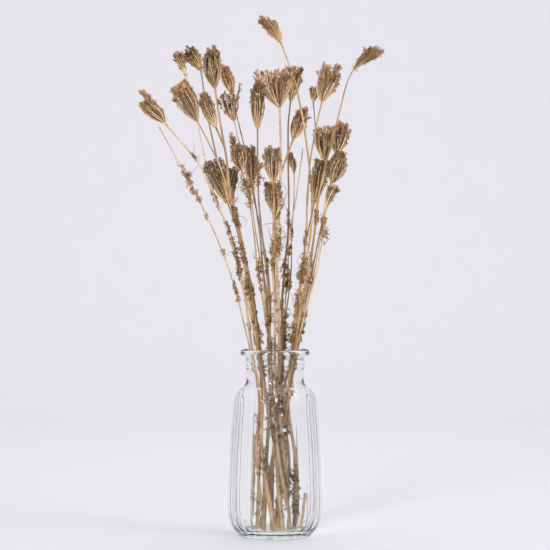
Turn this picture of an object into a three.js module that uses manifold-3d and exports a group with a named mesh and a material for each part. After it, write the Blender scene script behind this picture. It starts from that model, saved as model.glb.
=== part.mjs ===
// Dried wild carrot: a bunch of brown umbels on straw-coloured stalks, standing in a fluted glass vase.
// Millimetres, +Z up, +X to the right and +Y away from the front. The origin is the centre of the
// vase's underside.

import * as THREE from "three";
import { mergeVertices } from "three/addons/utils/BufferGeometryUtils.js";
import Module from "manifold-3d";

const wasm = await Module();
wasm.setup();

// The vase: heights from the surface it stands on, and radii of its outside
const VASE_HEIGHT = 215;
const BASE_RADIUS = 41.5;
const BELLY_RADIUS = 54.2;
const BELLY_HEIGHT = 33;
const SHOULDER_RADIUS = 48.6;
const SHOULDER_HEIGHT = 148;
const NECK_RADIUS = 33;
const NECK_HEIGHT = 176;
const RIM_RADIUS = 39.6;
const WALL = 3.3;
const FLOOR = 7;
const RIDGE = 1;

// Flutes are rounded lobes with a narrow valley between two of them
const FLUTES = 24;
const FLUTE_DEPTH = 1.2;
const COLUMNS_PER_FLUTE = 3;
const NECK_COLUMNS = 24;

// The stalks stand on the vase's floor, cross below its neck as a spiral and lean on each other above
const TOUCH_GAP = 0.3;
const FOOT_HEIGHT = FLOOR + TOUCH_GAP;
const NECK_LEVEL = 200;
const TWIST = THREE.MathUtils.degToRad(75);

// Inside the vase: heights that every stalk passes, how far it spreads there as a share of its
// distance from the axis in the neck, what share of the twist it has made, and how far out it may be
const LOW_LEVELS = [
  { height: FOOT_HEIGHT, spread: 1.2, turn: 1, room: 31 },
  { height: 90, spread: 0.85, turn: 0.5, room: 40 },
  { height: 165, spread: 0.62, turn: 0.1, room: 24 },
  { height: NECK_LEVEL, spread: 1, turn: 0, room: 25.5 },
];

// Radii of a stalk at its foot, in the neck and at its top, and how thin a branch of it is
const FOOT_GIRTH = 3;
const NECK_GIRTH = 2;
const TOP_GIRTH = 1.25;
const BRANCH_STOUTNESS = 0.85;
const STALK_SIDES = 5;

// Places below are given as they look from the front: x and z in the plane of the vase's axis, and
// the depth behind that plane
const EYE_DISTANCE = 2400;
const EYE_HEIGHT = 300;

// Heights at which every stalk's x is given, up to its top
const LEVELS = [NECK_LEVEL, 271, 307, 346, 386, 430, 475, 520];

// How an umbel's rays run: as shares of half its width, how far they bow out and where they end, at
// what share of its length they bow, and how thick its dense middle is
const FORMS = {
  closed: { bow: 1, bowAt: 0.5, end: 0.6, core: 0.62 },
  brush: { bow: 0.82, bowAt: 0.5, end: 1, core: 0.55 },
  open: { bow: 0.62, bowAt: 0.5, end: 1, core: 0.42 },
};

const BASE_REACH = 0.25;

// An umbel leans back or forward a little more than its stalk, and starts out the way its stalk points
const DEPTH_LEAN = 0.12;
const STRAIGHT_SHARE = 0.4;

// The dense middle of an umbel, which the rays stand out of: where its rings are along the umbel
const CORE_SHARES = [0, 0.14, 0.5, 0.8];
const CORE_SIDES = 6;

// Rays, three-sided, from root to knot of seeds: the outer ones bow, the inner ones stand on the core
const RAYS_PER_MM = 0.38;
const RAY_RADII = [0.5, 0.75, 1.55];
const INNER_RAY_RADII = [0.8, 1.5];
const RAY_ROOTS = [0.08, 0.28];
const RAY_TIPS = [0.82, 1];
const INNER_ROOT = 0.7;
const INNER_TIPS = [0.93, 1];

// One line for each stalk: its x at each level, its top, how stout it is, and its umbel, with the
// umbel's tip as seen from the front, its width and form. One that branches off another has the number
// of that stalk and the joint's height. A twig is a short side branch with an umbel of its own
const STALKS = [
  { xs: [-26, -34, -42, -51, -68, -88], top: [-127, 475], depth: -25, stout: 1,
    umbel: { tip: [-152, 511], width: 23, form: "brush" } },
  { xs: [-22, -29, -35, -41, -49, -65], top: [-89, 477], depth: -70, stout: 1, from: [5, 212],
    umbel: { tip: [-115, 520], width: 23, form: "brush" } },
  { xs: [-23, -32, -39, -51, -68, -80, -89], top: [-102, 528], depth: 60, stout: 0.7, from: [4, 218],
    umbel: { tip: [-113, 555], width: 10, form: "brush" } },
  { xs: [-20, -28, -34, -42, -52, -66, -76, -83], top: [-85, 535], depth: 80, stout: 0.9,
    umbel: { tip: [-102, 560], width: 16, form: "brush" } },
  { xs: [-18, -26, -32, -40, -51, -55, -63], top: [-69, 515], depth: -50, stout: 1.1,
    umbel: { tip: [-74, 559], width: 20, form: "closed" },
    twig: { joint: 446, top: [-68, 470], depth: -22,
      umbel: { tip: [-83, 509], width: 13, form: "closed" } } },
  { xs: [-3, -5, -8, -15, -24, -31, -42], top: [-49, 508], depth: 50, stout: 0.8, from: [11, 210],
    umbel: { tip: [-59, 540], width: 12, form: "closed" } },
  { xs: [-10, -12, -15, -22, -27, -36], top: [-47, 477], depth: 0, stout: 0.8, from: [11, 238],
    umbel: { tip: [-56, 511], width: 22, form: "open" } },
  { xs: [-12, -14, -20, -24, -29], top: [-38, 420], depth: -40, stout: 0.9, from: [12, 214],
    umbel: { tip: [-48, 460], width: 17, form: "closed" } },
  { xs: [-17, -26, -33, -42], top: [-54, 382], depth: 20, stout: 0.9, from: [10, 226],
    umbel: { tip: [-72, 432], width: 23, form: "brush" } },
  { xs: [-16, -24, -31, -39], top: [-49, 386], depth: 62, stout: 0.8,
    umbel: { tip: [-47, 423], width: 10, form: "closed" } },
  { xs: [-7, -9, -14, -17, -23], top: [-26, 403], depth: 35, stout: 0.9,
    umbel: { tip: [-28, 447], width: 12, form: "brush" } },
  { xs: [-5, -7, -10, -15, -19, -20], top: [-20, 468], depth: -60, stout: 0.9,
    umbel: { tip: [-21, 521], width: 14, form: "closed" } },
  { xs: [5, 4, 2, 3, 5, 7, 6], top: [5, 493], depth: -5, stout: 1.25,
    umbel: { tip: [1, 536], width: 51, form: "open" },
    twig: { joint: 418, top: [21, 457], depth: 25,
      umbel: { tip: [33, 492], width: 16, form: "closed" } } },
  { xs: [8, 8, 11, 15, 16, 15, 15], top: [18, 500], depth: 60, stout: 0.9,
    umbel: { tip: [24, 539], width: 13, form: "closed" } },
  { xs: [21, 29, 34, 41, 43, 39, 33, 24], top: [7, 567], depth: 30, stout: 1,
    umbel: { tip: [-17, 595], width: 13, form: "closed" } },
  { xs: [18, 26, 32, 36, 37, 40, 48], top: [54, 499], depth: -30, stout: 0.9,
    umbel: { tip: [63, 540], width: 28, form: "open", lobes: 0.35 },
    twig: { joint: 466, top: [44, 499], depth: -15,
      umbel: { tip: [46, 515], width: 7, form: "brush" } } },
  { xs: [23, 31, 39, 45, 49, 59, 71, 82], top: [90, 536], depth: -65, stout: 0.85,
    umbel: { tip: [122, 557], width: 15, form: "brush" } },
  { xs: [24, 33, 40, 46, 50], top: [57, 432], depth: 30, stout: 0.9,
    umbel: { tip: [54, 469], width: 22, form: "brush" } },
  { xs: [25, 36, 43, 51, 60], top: [71, 440], depth: 60, stout: 0.9, from: [15, 208],
    umbel: { tip: [76, 475], width: 20, form: "brush" } },
  { xs: [26, 38, 46, 53, 61], top: [66, 406], depth: 15, stout: 0.9, from: [18, 214],
    umbel: { tip: [76, 441], width: 21, form: "closed" } },
  { xs: [16, 23, 29, 37], top: [45, 382], depth: -20, stout: 0.95, from: [16, 218],
    umbel: { tip: [54, 434], width: 16, form: "brush" } },
  { xs: [28, 39, 49, 55], top: [58, 375], depth: -45, stout: 0.8, from: [17, 210],
    umbel: { tip: [68, 400], width: 8, form: "brush" } },
  { xs: [0, 0, -3, -2, -1], top: [-2, 406], depth: -60, stout: 1,
    umbel: { tip: [-4, 444], width: 15, form: "brush" } },
  { xs: [3, 1, -1, 0], top: [0, 367], depth: -30, stout: 0.95, from: [23, 240],
    umbel: { tip: [-2, 405], width: 16, form: "brush" } },
  { xs: [13, 15, 19, 19, 22], top: [22, 417], depth: 80, stout: 0.7, from: [14, 222],
    umbel: { tip: [17, 442], width: 8, form: "closed" } },
  { xs: [-29, -42, -53, -68, -87, -111], top: [-133, 470], depth: 15, stout: 0.65 },
  { xs: [10, 12, 15, 16, 24, 30], top: [32, 445], depth: 75, stout: 0.6 },
];

// Sprays of dried, curled leaves: the stalk that carries each, its height, its reach and its number
// of leaves
const SPRAYS = [
  [1, 434, 7, 2], [1, 350, 7, 3], [3, 385, 6, 3], [5, 222, 5, 2], [7, 305, 7, 2],
  [8, 398, 9, 3], [10, 366, 8, 3], [10, 352, 7, 2], [11, 250, 6, 2], [12, 415, 8, 3],
  [13, 373, 8, 3], [13, 346, 8, 3], [13, 332, 7, 2], [14, 366, 6, 2], [14, 300, 8, 3],
  [16, 300, 7, 2], [16, 228, 6, 2], [19, 352, 8, 3], [21, 307, 7, 3], [22, 345, 7, 3],
  [22, 257, 6, 2], [25, 310, 7, 3], [26, 417, 6, 3], [26, 402, 7, 3], [26, 370, 5, 2],
  [26, 283, 7, 3], [27, 236, 5, 2],
];
const LEAF_GIRTH = 1.3;
const LEAF_RADII = [LEAF_GIRTH * 0.6, LEAF_GIRTH, LEAF_GIRTH * 0.45];
const LEAF_STEP = 4;
const TURNS = 12;
const LEAF_ROOM = LEAF_GIRTH + 0.9;

// Bracts curl out from the base of the wider umbels
const BRACTS = 2;
const BRACT_REACH = 6;
const BRACT_SHARES = [0.08, 0.09, 0.16];
const WIDTH_WITH_BRACTS = 15;

// How the bunch settles: balls along each stalk and umbel push each other apart, mostly in depth
const BALL_STEP = 6;
const UMBEL_BALLS = [0.1, 0.3, 0.5, 0.7, 0.9];
const RAY_ROOM = 1.5;
const CLEARANCE = 0.8;
const SIDEWAYS = 0.45;
const SLOPE_ROOM = 1.08;
const SETTLE_PASSES = 240;
const SETTLE_PULL = 0.12;
const LAST_PASSES = 80;
const LAST_PULL = 0.01;
const LOW_PULL = 0.5;
const NECK_DEPTH_SHARE = 0.25;
const TWIG_STOUTNESS = 0.8;

// A snapped-off end of a stalk on the floor, leaning back against the wall
const SCRAP_FOOT = [31, -12];
const SCRAP_TOP = [37, 28, 46];
const SCRAP_GIRTH = 2;

// Joined solids are smoothed where that moves nothing by more than this
const SLIVER = 0.03;

// Numbers between 0 and 1 that are the same at each run
function seededRandom(seed) {
  let state = seed;
  return () => {
    state = (state * 1664525 + 1013904223) % 4294967296;
    return state / 4294967296;
  };
}

function between([low, high], random) {
  return low + (high - low) * random();
}

// A place seen from the front, moved along the line of sight to its depth
function seen(x, z, depth) {
  const scale = 1 + depth / EYE_DISTANCE;
  return new THREE.Vector3(x * scale, depth, EYE_HEIGHT + (z - EYE_HEIGHT) * scale);
}

// A closed geometry from corners and the triangles between them
function meshOf(corners, triangles) {
  const geometry = new THREE.BufferGeometry();
  geometry.setAttribute("position", new THREE.Float32BufferAttribute(corners, 3));
  geometry.setIndex(triangles);
  return geometry;
}

// Triangles of a stack of rings with equally many corners, closed by a fan at each end
function ringTriangles(rings, sides) {
  const triangles = [];
  for (let ring = 0; ring < rings - 1; ring += 1) {
    for (let side = 0; side < sides; side += 1) {
      const here = ring * sides + side;
      const next = ring * sides + ((side + 1) % sides);
      triangles.push(here, next, next + sides, here, next + sides, here + sides);
    }
  }
  const lastRing = (rings - 1) * sides;
  for (let side = 1; side < sides - 1; side += 1) {
    triangles.push(0, side + 1, side);
    triangles.push(lastRing, lastRing + side, lastRing + side + 1);
  }
  return triangles;
}

// A closed tube through the points, with a radius at each and a ring square to the way it runs
function loft(points, radii, sides, firstWay, lastWay) {
  const last = points.length - 1;
  const ways = points.map((_, i) =>
    points[Math.min(i + 1, last)].clone().sub(points[Math.max(i - 1, 0)]).normalize());
  ways[0] = firstWay ?? ways[0];
  ways[last] = lastWay ?? ways[last];
  const across = new THREE.Vector3(1, 0.3, 0.2);
  const corners = [];
  points.forEach((point, i) => {
    across.projectOnPlane(ways[i]).normalize();
    const beside = ways[i].clone().cross(across);
    for (let side = 0; side < sides; side += 1) {
      const angle = (2 * Math.PI * side) / sides;
      const corner = point.clone();
      corner.addScaledVector(across, radii[i] * Math.cos(angle));
      corner.addScaledVector(beside, radii[i] * Math.sin(angle));
      corners.push(corner.x, corner.y, corner.z);
    }
  });
  return meshOf(corners, ringTriangles(points.length, sides));
}

// A closed mesh as a solid that can be joined and cut
function solidOf(geometry) {
  const bare = meshOf(geometry.attributes.position.array, [...geometry.index.array]);
  const merged = mergeVertices(bare, 1e-4);
  const triangles = [];
  for (let i = 0; i < merged.index.count; i += 3) {
    const [a, b, c] = merged.index.array.slice(i, i + 3);
    if (a !== b && b !== c && c !== a) triangles.push(a, b, c);
  }
  return new wasm.Manifold(new wasm.Mesh({
    numProp: 3,
    vertProperties: new Float32Array(merged.attributes.position.array),
    triVerts: new Uint32Array(triangles),
  }));
}

function geometryOf(solid) {
  const mesh = solid.getMesh();
  return meshOf([...mesh.vertProperties], [...mesh.triVerts]);
}

// Joins closed meshes and clears the slivers that this leaves
function fuse(geometries) {
  const whole = geometries.map(solidOf).reduce((joined, piece) => joined.add(piece));
  return geometryOf(whole.simplify(SLIVER));
}

// The fluted body: rows of rings whose lobes fade out at the base and at the shoulder's top
function flutedBody() {
  const rows = [
    [0, BASE_RADIUS, 0],
    [3, BASE_RADIUS + 1.5, 0.3],
    [9, BASE_RADIUS + 5.7, 0.8],
    [18, BELLY_RADIUS - 2, 1],
    [BELLY_HEIGHT, BELLY_RADIUS, 1],
    [129, SHOULDER_RADIUS + 1.4, 1],
    [SHOULDER_HEIGHT, SHOULDER_RADIUS, 1],
    [SHOULDER_HEIGHT + 10, SHOULDER_RADIUS - 1.4, 1],
    [SHOULDER_HEIGHT + 18, NECK_RADIUS + 10, 0.7],
    [NECK_HEIGHT, NECK_RADIUS - 1.5, 0],
  ];
  const columns = FLUTES * COLUMNS_PER_FLUTE;
  const corners = [];
  for (const [height, radius, lobes] of rows) {
    for (let column = 0; column < columns; column += 1) {
      const angle = (2 * Math.PI * column) / columns;
      const valley = 1 - Math.abs(Math.sin((FLUTES / 2) * angle));
      const out = radius - FLUTE_DEPTH * lobes * valley;
      corners.push(out * Math.cos(angle), out * Math.sin(angle), height);
    }
  }
  return meshOf(corners, ringTriangles(rows.length, columns));
}

// A round solid from a profile of radius and height that starts and ends on the axis
function turned(profile) {
  const outline = profile.map(([radius, height]) => new THREE.Vector2(radius, height));
  return new THREE.LatheGeometry(outline, NECK_COLUMNS).rotateX(Math.PI / 2);
}

function neckAndLip() {
  return turned([
    [0, NECK_HEIGHT - 4],
    [NECK_RADIUS, NECK_HEIGHT - 4],
    [NECK_RADIUS, 193],
    [NECK_RADIUS + RIDGE, 195],
    [NECK_RADIUS, 197.5],
    [NECK_RADIUS + RIDGE, 200.5],
    [NECK_RADIUS + RIDGE, 203],
    [RIM_RADIUS - 1.6, 209],
    [RIM_RADIUS, 211.5],
    [RIM_RADIUS - 0.5, 214],
    [RIM_RADIUS - 2.5, VASE_HEIGHT],
    [0, VASE_HEIGHT],
  ]);
}

function vaseInside() {
  return turned([
    [0, FLOOR],
    [BASE_RADIUS - 4, FLOOR],
    [BASE_RADIUS + 2, FLOOR + 4],
    [BELLY_RADIUS - WALL - 2.5, FLOOR + 12],
    [BELLY_RADIUS - WALL, BELLY_HEIGHT],
    [SHOULDER_RADIUS - WALL, SHOULDER_HEIGHT],
    [SHOULDER_RADIUS - WALL - 1.6, SHOULDER_HEIGHT + 9],
    [NECK_RADIUS + 6, SHOULDER_HEIGHT + 17],
    [NECK_RADIUS - WALL + 0.4, NECK_HEIGHT],
    [NECK_RADIUS - WALL, 200],
    [RIM_RADIUS - 5, 209],
    [RIM_RADIUS - 3.6, VASE_HEIGHT + 1],
    [0, VASE_HEIGHT + 1],
  ]);
}

function vase() {
  return geometryOf(solidOf(flutedBody()).add(solidOf(neckAndLip())).subtract(solidOf(vaseInside())));
}

// Where a stalk passes a level inside the vase, from its place in the neck
function lowPoint(neckPoint, { height, spread, turn }) {
  const point = neckPoint.clone().multiplyScalar(spread);
  point.applyAxisAngle(new THREE.Vector3(0, 0, 1), TWIST * turn);
  return point.setZ(height);
}

// A limb is a stalk, a branch or a twig: a line of points from its foot or its joint to its top, each
// with the place where it is drawn back to
function stalkLimb(name, stalk, parent) {
  const joint = stalk.from ? stalk.from[1] : NECK_LEVEL;
  const heights = LEVELS.slice(0, stalk.xs.length);
  const places = stalk.xs.map((x, level) => [x, heights[level]]).filter(([, z]) => z > joint + 12);
  places.push(stalk.top);
  const { umbel, depth } = stalk;
  const stout = stalk.stout * (parent ? BRANCH_STOUTNESS : 1);
  const limb = { name, parent, joint, umbel, depth, stout };
  limb.points = places.map(([x, z]) => {
    const rise = (z - NECK_LEVEL) / (stalk.top[1] - NECK_LEVEL);
    return seen(x, z, depth * THREE.MathUtils.lerp(NECK_DEPTH_SHARE, 1, rise));
  });
  if (parent) {
    limb.places = [[0, joint], ...places];
    limb.points.unshift(pointAtHeight(parent, joint));
    limb.lows = [];
  } else {
    const neck = seen(stalk.xs[0], NECK_LEVEL, depth * NECK_DEPTH_SHARE);
    limb.lows = LOW_LEVELS.map((level) => lowPoint(neck, level));
    limb.places = [...LOW_LEVELS.map(({ height }) => [0, height]), ...places];
    limb.points.unshift(...limb.lows.map((point) => point.clone()));
  }
  return limb;
}

function twigLimb(limb, { joint, top, depth, umbel }) {
  const twig = { name: `${limb.name}_side`, parent: limb, joint, umbel, depth, lows: [] };
  twig.stout = limb.stout * TWIG_STOUTNESS;
  twig.places = [[0, joint], top];
  twig.points = [pointAtHeight(limb, joint), seen(top[0], top[1], depth)];
  return twig;
}

// Stalks that stand on the floor come first, then what branches off them
function limbsOf(stalks) {
  const limbs = new Map();
  for (const branching of [false, true]) {
    stalks.forEach((stalk, i) => {
      if (Boolean(stalk.from) !== branching) return;
      const parent = branching ? limbs.get(stalk.from[0]) : undefined;
      limbs.set(i + 1, stalkLimb(String(i + 1).padStart(2, "0"), stalk, parent));
    });
  }
  const twigs = stalks.flatMap((stalk, i) => (stalk.twig ? [twigLimb(limbs.get(i + 1), stalk.twig)] : []));
  return [...limbs.values(), ...twigs];
}

// The stalk on the floor that a limb grew from
function stalkOf(limb) {
  return limb.parent ? stalkOf(limb.parent) : limb;
}

// The point of a limb's middle line at a height
function pointAtHeight(limb, height) {
  const above = limb.points.findIndex((point) => point.z > height);
  const low = limb.points[above - 1];
  const high = limb.points[above];
  return low.clone().lerp(high, (height - low.z) / (high.z - low.z));
}

function girthAt(limb, height) {
  if (height < NECK_LEVEL) {
    return limb.stout * THREE.MathUtils.lerp(FOOT_GIRTH, NECK_GIRTH, height / NECK_LEVEL);
  }
  const top = limb.points.at(-1).z;
  const share = (height - NECK_LEVEL) / (top - NECK_LEVEL);
  return limb.stout * THREE.MathUtils.lerp(NECK_GIRTH, TOP_GIRTH, share);
}

// The way a limb points at its top
function topWay(limb) {
  return limb.points.at(-1).clone().sub(limb.points.at(-2)).normalize();
}

// An umbel's middle line starts the way its stalk points and bends to its tip
function umbelAxis(limb) {
  const { umbel, places, points, depth } = limb;
  const way = topWay(limb);
  const base = points.at(-1).clone().addScaledVector(way, TOUCH_GAP);
  const [topX, topZ] = places.at(-1);
  const reach = new THREE.Vector3(umbel.tip[0] - topX, depth * DEPTH_LEAN, umbel.tip[1] - topZ);
  const bend = base.clone().addScaledVector(way, reach.length() * STRAIGHT_SHARE);
  return new THREE.QuadraticBezierCurve3(base, bend, base.clone().add(reach));
}

// How far an umbel reaches sideways at a share of its length
function umbelReach(umbel, share) {
  const { bow, bowAt, end } = FORMS[umbel.form];
  const half = umbel.width / 2;
  if (share < bowAt) return half * bow * THREE.MathUtils.lerp(BASE_REACH, 1, share / bowAt);
  return half * THREE.MathUtils.lerp(bow, end, (share - bowAt) / (1 - bowAt));
}

// Balls that fill a limb and its umbel, each tied to the points that it moves with
function ballsOf(limb) {
  const balls = [];
  const { points, umbel } = limb;
  for (let i = 0; i < points.length - 1; i += 1) {
    const steps = Math.ceil((points[i + 1].z - points[i].z) / BALL_STEP);
    for (let step = 0; step <= steps; step += 1) {
      const share = step / steps;
      const centre = points[i].clone().lerp(points[i + 1], share);
      balls.push({ limb, centre, radius: girthAt(limb, centre.z), low: i, share });
    }
  }
  if (umbel) {
    const axis = umbelAxis(limb);
    for (const share of UMBEL_BALLS) {
      const centre = axis.getPoint(share);
      const radius = umbelReach(umbel, share) + RAY_ROOM;
      balls.push({ limb, centre, radius, low: points.length - 2, share: 1, wide: true });
    }
  }
  return balls;
}

function mayTouch(a, b) {
  if (a.limb === b.limb) return true;
  const related = a.limb.parent === b.limb || b.limb.parent === a.limb;
  return related && !a.wide && !b.wide;
}

// Shares a push between the two points that a ball lies between
function shift(ball, push) {
  ball.limb.points[ball.low].addScaledVector(push, 1 - ball.share);
  ball.limb.points[ball.low + 1].addScaledVector(push, ball.share);
}

// Moves two balls apart until they are clear of each other
function pushApart(a, b) {
  const apart = b.centre.clone().sub(a.centre);
  const inVase = Math.max(a.centre.z, b.centre.z) < NECK_LEVEL + 1;
  const room = (a.radius + b.radius) * (inVase ? SLOPE_ROOM : 1) + CLEARANCE;
  const distance = apart.length();
  if (distance >= room) return;
  const push = new THREE.Vector3(apart.x * (inVase ? 1 : SIDEWAYS), apart.y, 0);
  push.setLength((room - distance) / 2);
  shift(b, push);
  shift(a, push.negate());
}

function pushAllApart(limbs) {
  const balls = limbs.flatMap(ballsOf).sort((a, b) => a.centre.z - b.centre.z);
  const widest = Math.max(...balls.map((ball) => ball.radius));
  balls.forEach((a, i) => {
    for (let j = i + 1; j < balls.length; j += 1) {
      const b = balls[j];
      if (b.centre.z - a.centre.z > a.radius + widest + CLEARANCE) break;
      if (!mayTouch(a, b)) pushApart(a, b);
    }
  });
}

// Draws a limb back to where it is seen and evens its depth
function recover(limb, pull) {
  const { points, places, parent, lows } = limb;
  for (let i = parent ? 1 : lows.length; i < points.length; i += 1) {
    const point = points[i];
    point.x += (seen(places[i][0], places[i][1], point.y).x - point.x) * pull;
    if (i < points.length - 1) {
      const rise = (point.z - points[i - 1].z) / (points[i + 1].z - points[i - 1].z);
      const even = THREE.MathUtils.lerp(points[i - 1].y, points[i + 1].y, rise);
      point.y += (even - point.y) * pull;
    }
  }
  if (parent) points[0].copy(pointAtHeight(parent, limb.joint));
}

// Draws a stalk inside the vase back to its spiral, and keeps it off the wall
function recoverLows({ points, lows }, pull) {
  lows.forEach((home, level) => {
    const point = points[level];
    point.lerp(home, pull * LOW_PULL);
    const share = LOW_LEVELS[level].room / Math.hypot(point.x, point.y);
    if (share < 1) point.set(point.x * share, point.y * share, point.z);
  });
}

function settle(limbs) {
  for (let pass = 0; pass < SETTLE_PASSES + LAST_PASSES; pass += 1) {
    const pull = pass < SETTLE_PASSES ? SETTLE_PULL : LAST_PULL;
    pushAllApart(limbs);
    limbs.forEach((limb) => {
      recoverLows(limb, pull);
      recover(limb, pull);
    });
  }
}

function limbTube(limb) {
  const radii = limb.points.map((point) => girthAt(limb, point.z));
  const sides = limb.parent ? STALK_SIDES - 1 : STALK_SIDES;
  const footWay = limb.parent ? undefined : new THREE.Vector3(0, 0, 1);
  return loft(limb.points, radii, sides, footWay, topWay(limb));
}

// How far a point is from the nearest ball of another limb, or from an earlier leaf
function roomAt(point, limb, balls, leafPoints) {
  let room = Infinity;
  for (const ball of balls) {
    if (ball.limb !== limb) room = Math.min(room, point.distanceTo(ball.centre) - ball.radius);
  }
  for (const other of leafPoints) room = Math.min(room, point.distanceTo(other) - LEAF_GIRTH);
  return room;
}

// The leaves of one spray, each turned to the side that has the most room, or left out with none
function sprayLeaves(limb, height, reach, count, balls, leafPoints, random) {
  const leaves = [];
  for (let leaf = 0; leaf < count; leaf += 1) {
    const root = pointAtHeight(limb, height + (leaf - count / 2) * LEAF_STEP);
    const length = reach * (0.7 + 0.3 * random());
    const rise = length * (random() - 0.2) * 0.9;
    let best = { room: -Infinity };
    for (let turn = 0; turn < TURNS; turn += 1) {
      const angle = 2 * Math.PI * ((turn + random()) / TURNS);
      const out = new THREE.Vector3(Math.cos(angle), Math.sin(angle), 0);
      const near = root.clone().addScaledVector(out, length * 0.6);
      const far = root.clone().addScaledVector(out, length);
      near.z += rise * 0.7;
      far.z += rise;
      const room = Math.min(roomAt(near, limb, balls, leafPoints), roomAt(far, limb, balls, leafPoints));
      if (room > best.room) best = { room, near, far };
    }
    if (best.room > LEAF_ROOM) {
      leaves.push(loft([root, best.near, best.far], LEAF_RADII, 3));
      leafPoints.push(best.near, best.far);
    }
  }
  return leaves;
}

function umbelCore(limb, axis) {
  const half = (limb.umbel.width / 2) * FORMS[limb.umbel.form].core;
  const neck = girthAt(limb, limb.points.at(-1).z);
  const radii = [neck, Math.max(neck * 1.5, half * 0.45), half, half * 0.6];
  const points = CORE_SHARES.map((share) => axis.getPoint(share));
  return loft(points, radii, CORE_SIDES, topWay(limb), axis.getTangent(CORE_SHARES.at(-1)));
}

// A place beside an umbel's middle line, at a share of its length, an angle and a distance from it
function besideAxis(axis, share, angle, distance) {
  const way = axis.getTangent(share);
  const across = new THREE.Vector3(1, 0, 0).projectOnPlane(way).normalize();
  const point = axis.getPoint(share).addScaledVector(across, distance * Math.cos(angle));
  return point.addScaledVector(way.cross(across), distance * Math.sin(angle));
}

// Rays leave the lower half of the core, bow out and end in a knot of seeds, some of them short
function outerRays(limb, axis, random) {
  const { umbel } = limb;
  const { bow, bowAt, end, core } = FORMS[umbel.form];
  const half = umbel.width / 2;
  const count = Math.max(4, Math.round(umbel.width * RAYS_PER_MM));
  const rays = [];
  for (let ray = 0; ray < count; ray += 1) {
    const angle = 2 * Math.PI * ((ray + 0.5 * random()) / count);
    const lobe = umbel.lobes ? 1 - umbel.lobes * (1 - Math.abs(Math.cos(angle))) : 1;
    const root = besideAxis(axis, between(RAY_ROOTS, random), angle, half * core * 0.3);
    const bend = besideAxis(axis, bowAt, angle, half * bow * lobe);
    const reach = half * end * lobe * between([0.8, 1], random);
    const tip = besideAxis(axis, between(RAY_TIPS, random), angle, reach);
    rays.push(loft([root, bend, tip], RAY_RADII, 3));
  }
  return rays;
}

// Short rays that stand up from the core's top
function innerRays(limb, axis, random) {
  const { umbel } = limb;
  const { end, core } = FORMS[umbel.form];
  const half = umbel.width / 2;
  const count = Math.max(2, Math.round((umbel.width * RAYS_PER_MM) / 3));
  const rays = [];
  for (let ray = 0; ray < count; ray += 1) {
    const angle = 2 * Math.PI * ((ray + random()) / count);
    const root = besideAxis(axis, INNER_ROOT, angle, half * core * 0.25);
    const tip = besideAxis(axis, between(INNER_TIPS, random), angle, half * end * 0.45);
    rays.push(loft([root, tip], INNER_RAY_RADII, 3));
  }
  return rays;
}

// Small bracts that stand out from an umbel's base and curl up at their tips
function bracts(limb, axis) {
  const reach = Math.min(BRACT_REACH, limb.umbel.width * 0.35);
  const slivers = [];
  for (let bract = 0; bract < BRACTS; bract += 1) {
    const angle = (2 * Math.PI * bract) / BRACTS + limb.points.at(-1).x;
    const root = axis.getPoint(BRACT_SHARES[0]);
    const middle = besideAxis(axis, BRACT_SHARES[1], angle, reach * 0.6);
    const tip = besideAxis(axis, BRACT_SHARES[2], angle, reach);
    slivers.push(loft([root, middle, tip], LEAF_RADII, 3));
  }
  return slivers;
}

function umbelSolid(limb, random) {
  const axis = umbelAxis(limb);
  return fuse([
    umbelCore(limb, axis),
    ...outerRays(limb, axis, random),
    ...innerRays(limb, axis, random),
    ...(limb.umbel.width > WIDTH_WITH_BRACTS ? bracts(limb, axis) : []),
  ]);
}

function looseStalkEnd() {
  const foot = new THREE.Vector3(SCRAP_FOOT[0], SCRAP_FOOT[1], FLOOR + TOUCH_GAP + SCRAP_GIRTH);
  const points = [foot, new THREE.Vector3(...SCRAP_TOP)];
  return loft(points, [SCRAP_GIRTH, SCRAP_GIRTH * 0.8], STALK_SIDES);
}

// Materials
const glass = new THREE.MeshStandardMaterial({
  color: 0xdfe9e7, roughness: 0.04, metalness: 0, transparent: true, opacity: 0.35,
});
const straw = new THREE.MeshStandardMaterial({ color: 0xc39a63, roughness: 0.75, metalness: 0 });
const driedSeed = new THREE.MeshStandardMaterial({ color: 0x8a6b42, roughness: 0.9, metalness: 0 });

function named(name, geometry, material) {
  const mesh = new THREE.Mesh(geometry, material);
  mesh.name = name;
  return mesh;
}

// The bunch is settled first, then each stalk is fused with its branches, twigs and leaves
const limbs = limbsOf(STALKS);
settle(limbs);
const balls = limbs.flatMap(ballsOf);
const random = seededRandom(7);
const leafPoints = [];

const group = new THREE.Group();
group.add(named("vase", vase(), glass));
group.add(named("loose_stalk_end", looseStalkEnd(), straw));

limbs.forEach((limb) => {
  if (limb.umbel) group.add(named(`umbel_${limb.name}`, umbelSolid(limb, random), driedSeed));
});

limbs.filter((limb) => !limb.parent).forEach((stalk, i) => {
  const grown = limbs.filter((limb) => stalkOf(limb) === stalk);
  const leaves = grown.flatMap((limb) =>
    SPRAYS.filter(([number]) => number === Number(limb.name)).flatMap(([, height, reach, count]) =>
      sprayLeaves(limb, height, reach, count, balls, leafPoints, random)));
  const name = `stem_${String(i + 1).padStart(2, "0")}`;
  group.add(named(name, fuse([...grown.map(limbTube), ...leaves]), straw));
});

export default group;
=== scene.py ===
# Dresses a bunch of dried wild carrot in a fluted glass vase: ribbed stalks, umbels with rays, umbellets
# and seeds, curled leaves, clear glass, and a plain studio around them. Metres, +Z up.

import math
import random
from dataclasses import dataclass

import bmesh
import bpy
import numpy as np
from bpy.props import FloatProperty, FloatVectorProperty, IntProperty, PointerProperty
from bpy.types import Operator, Panel, PropertyGroup
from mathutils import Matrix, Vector, noise


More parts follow.
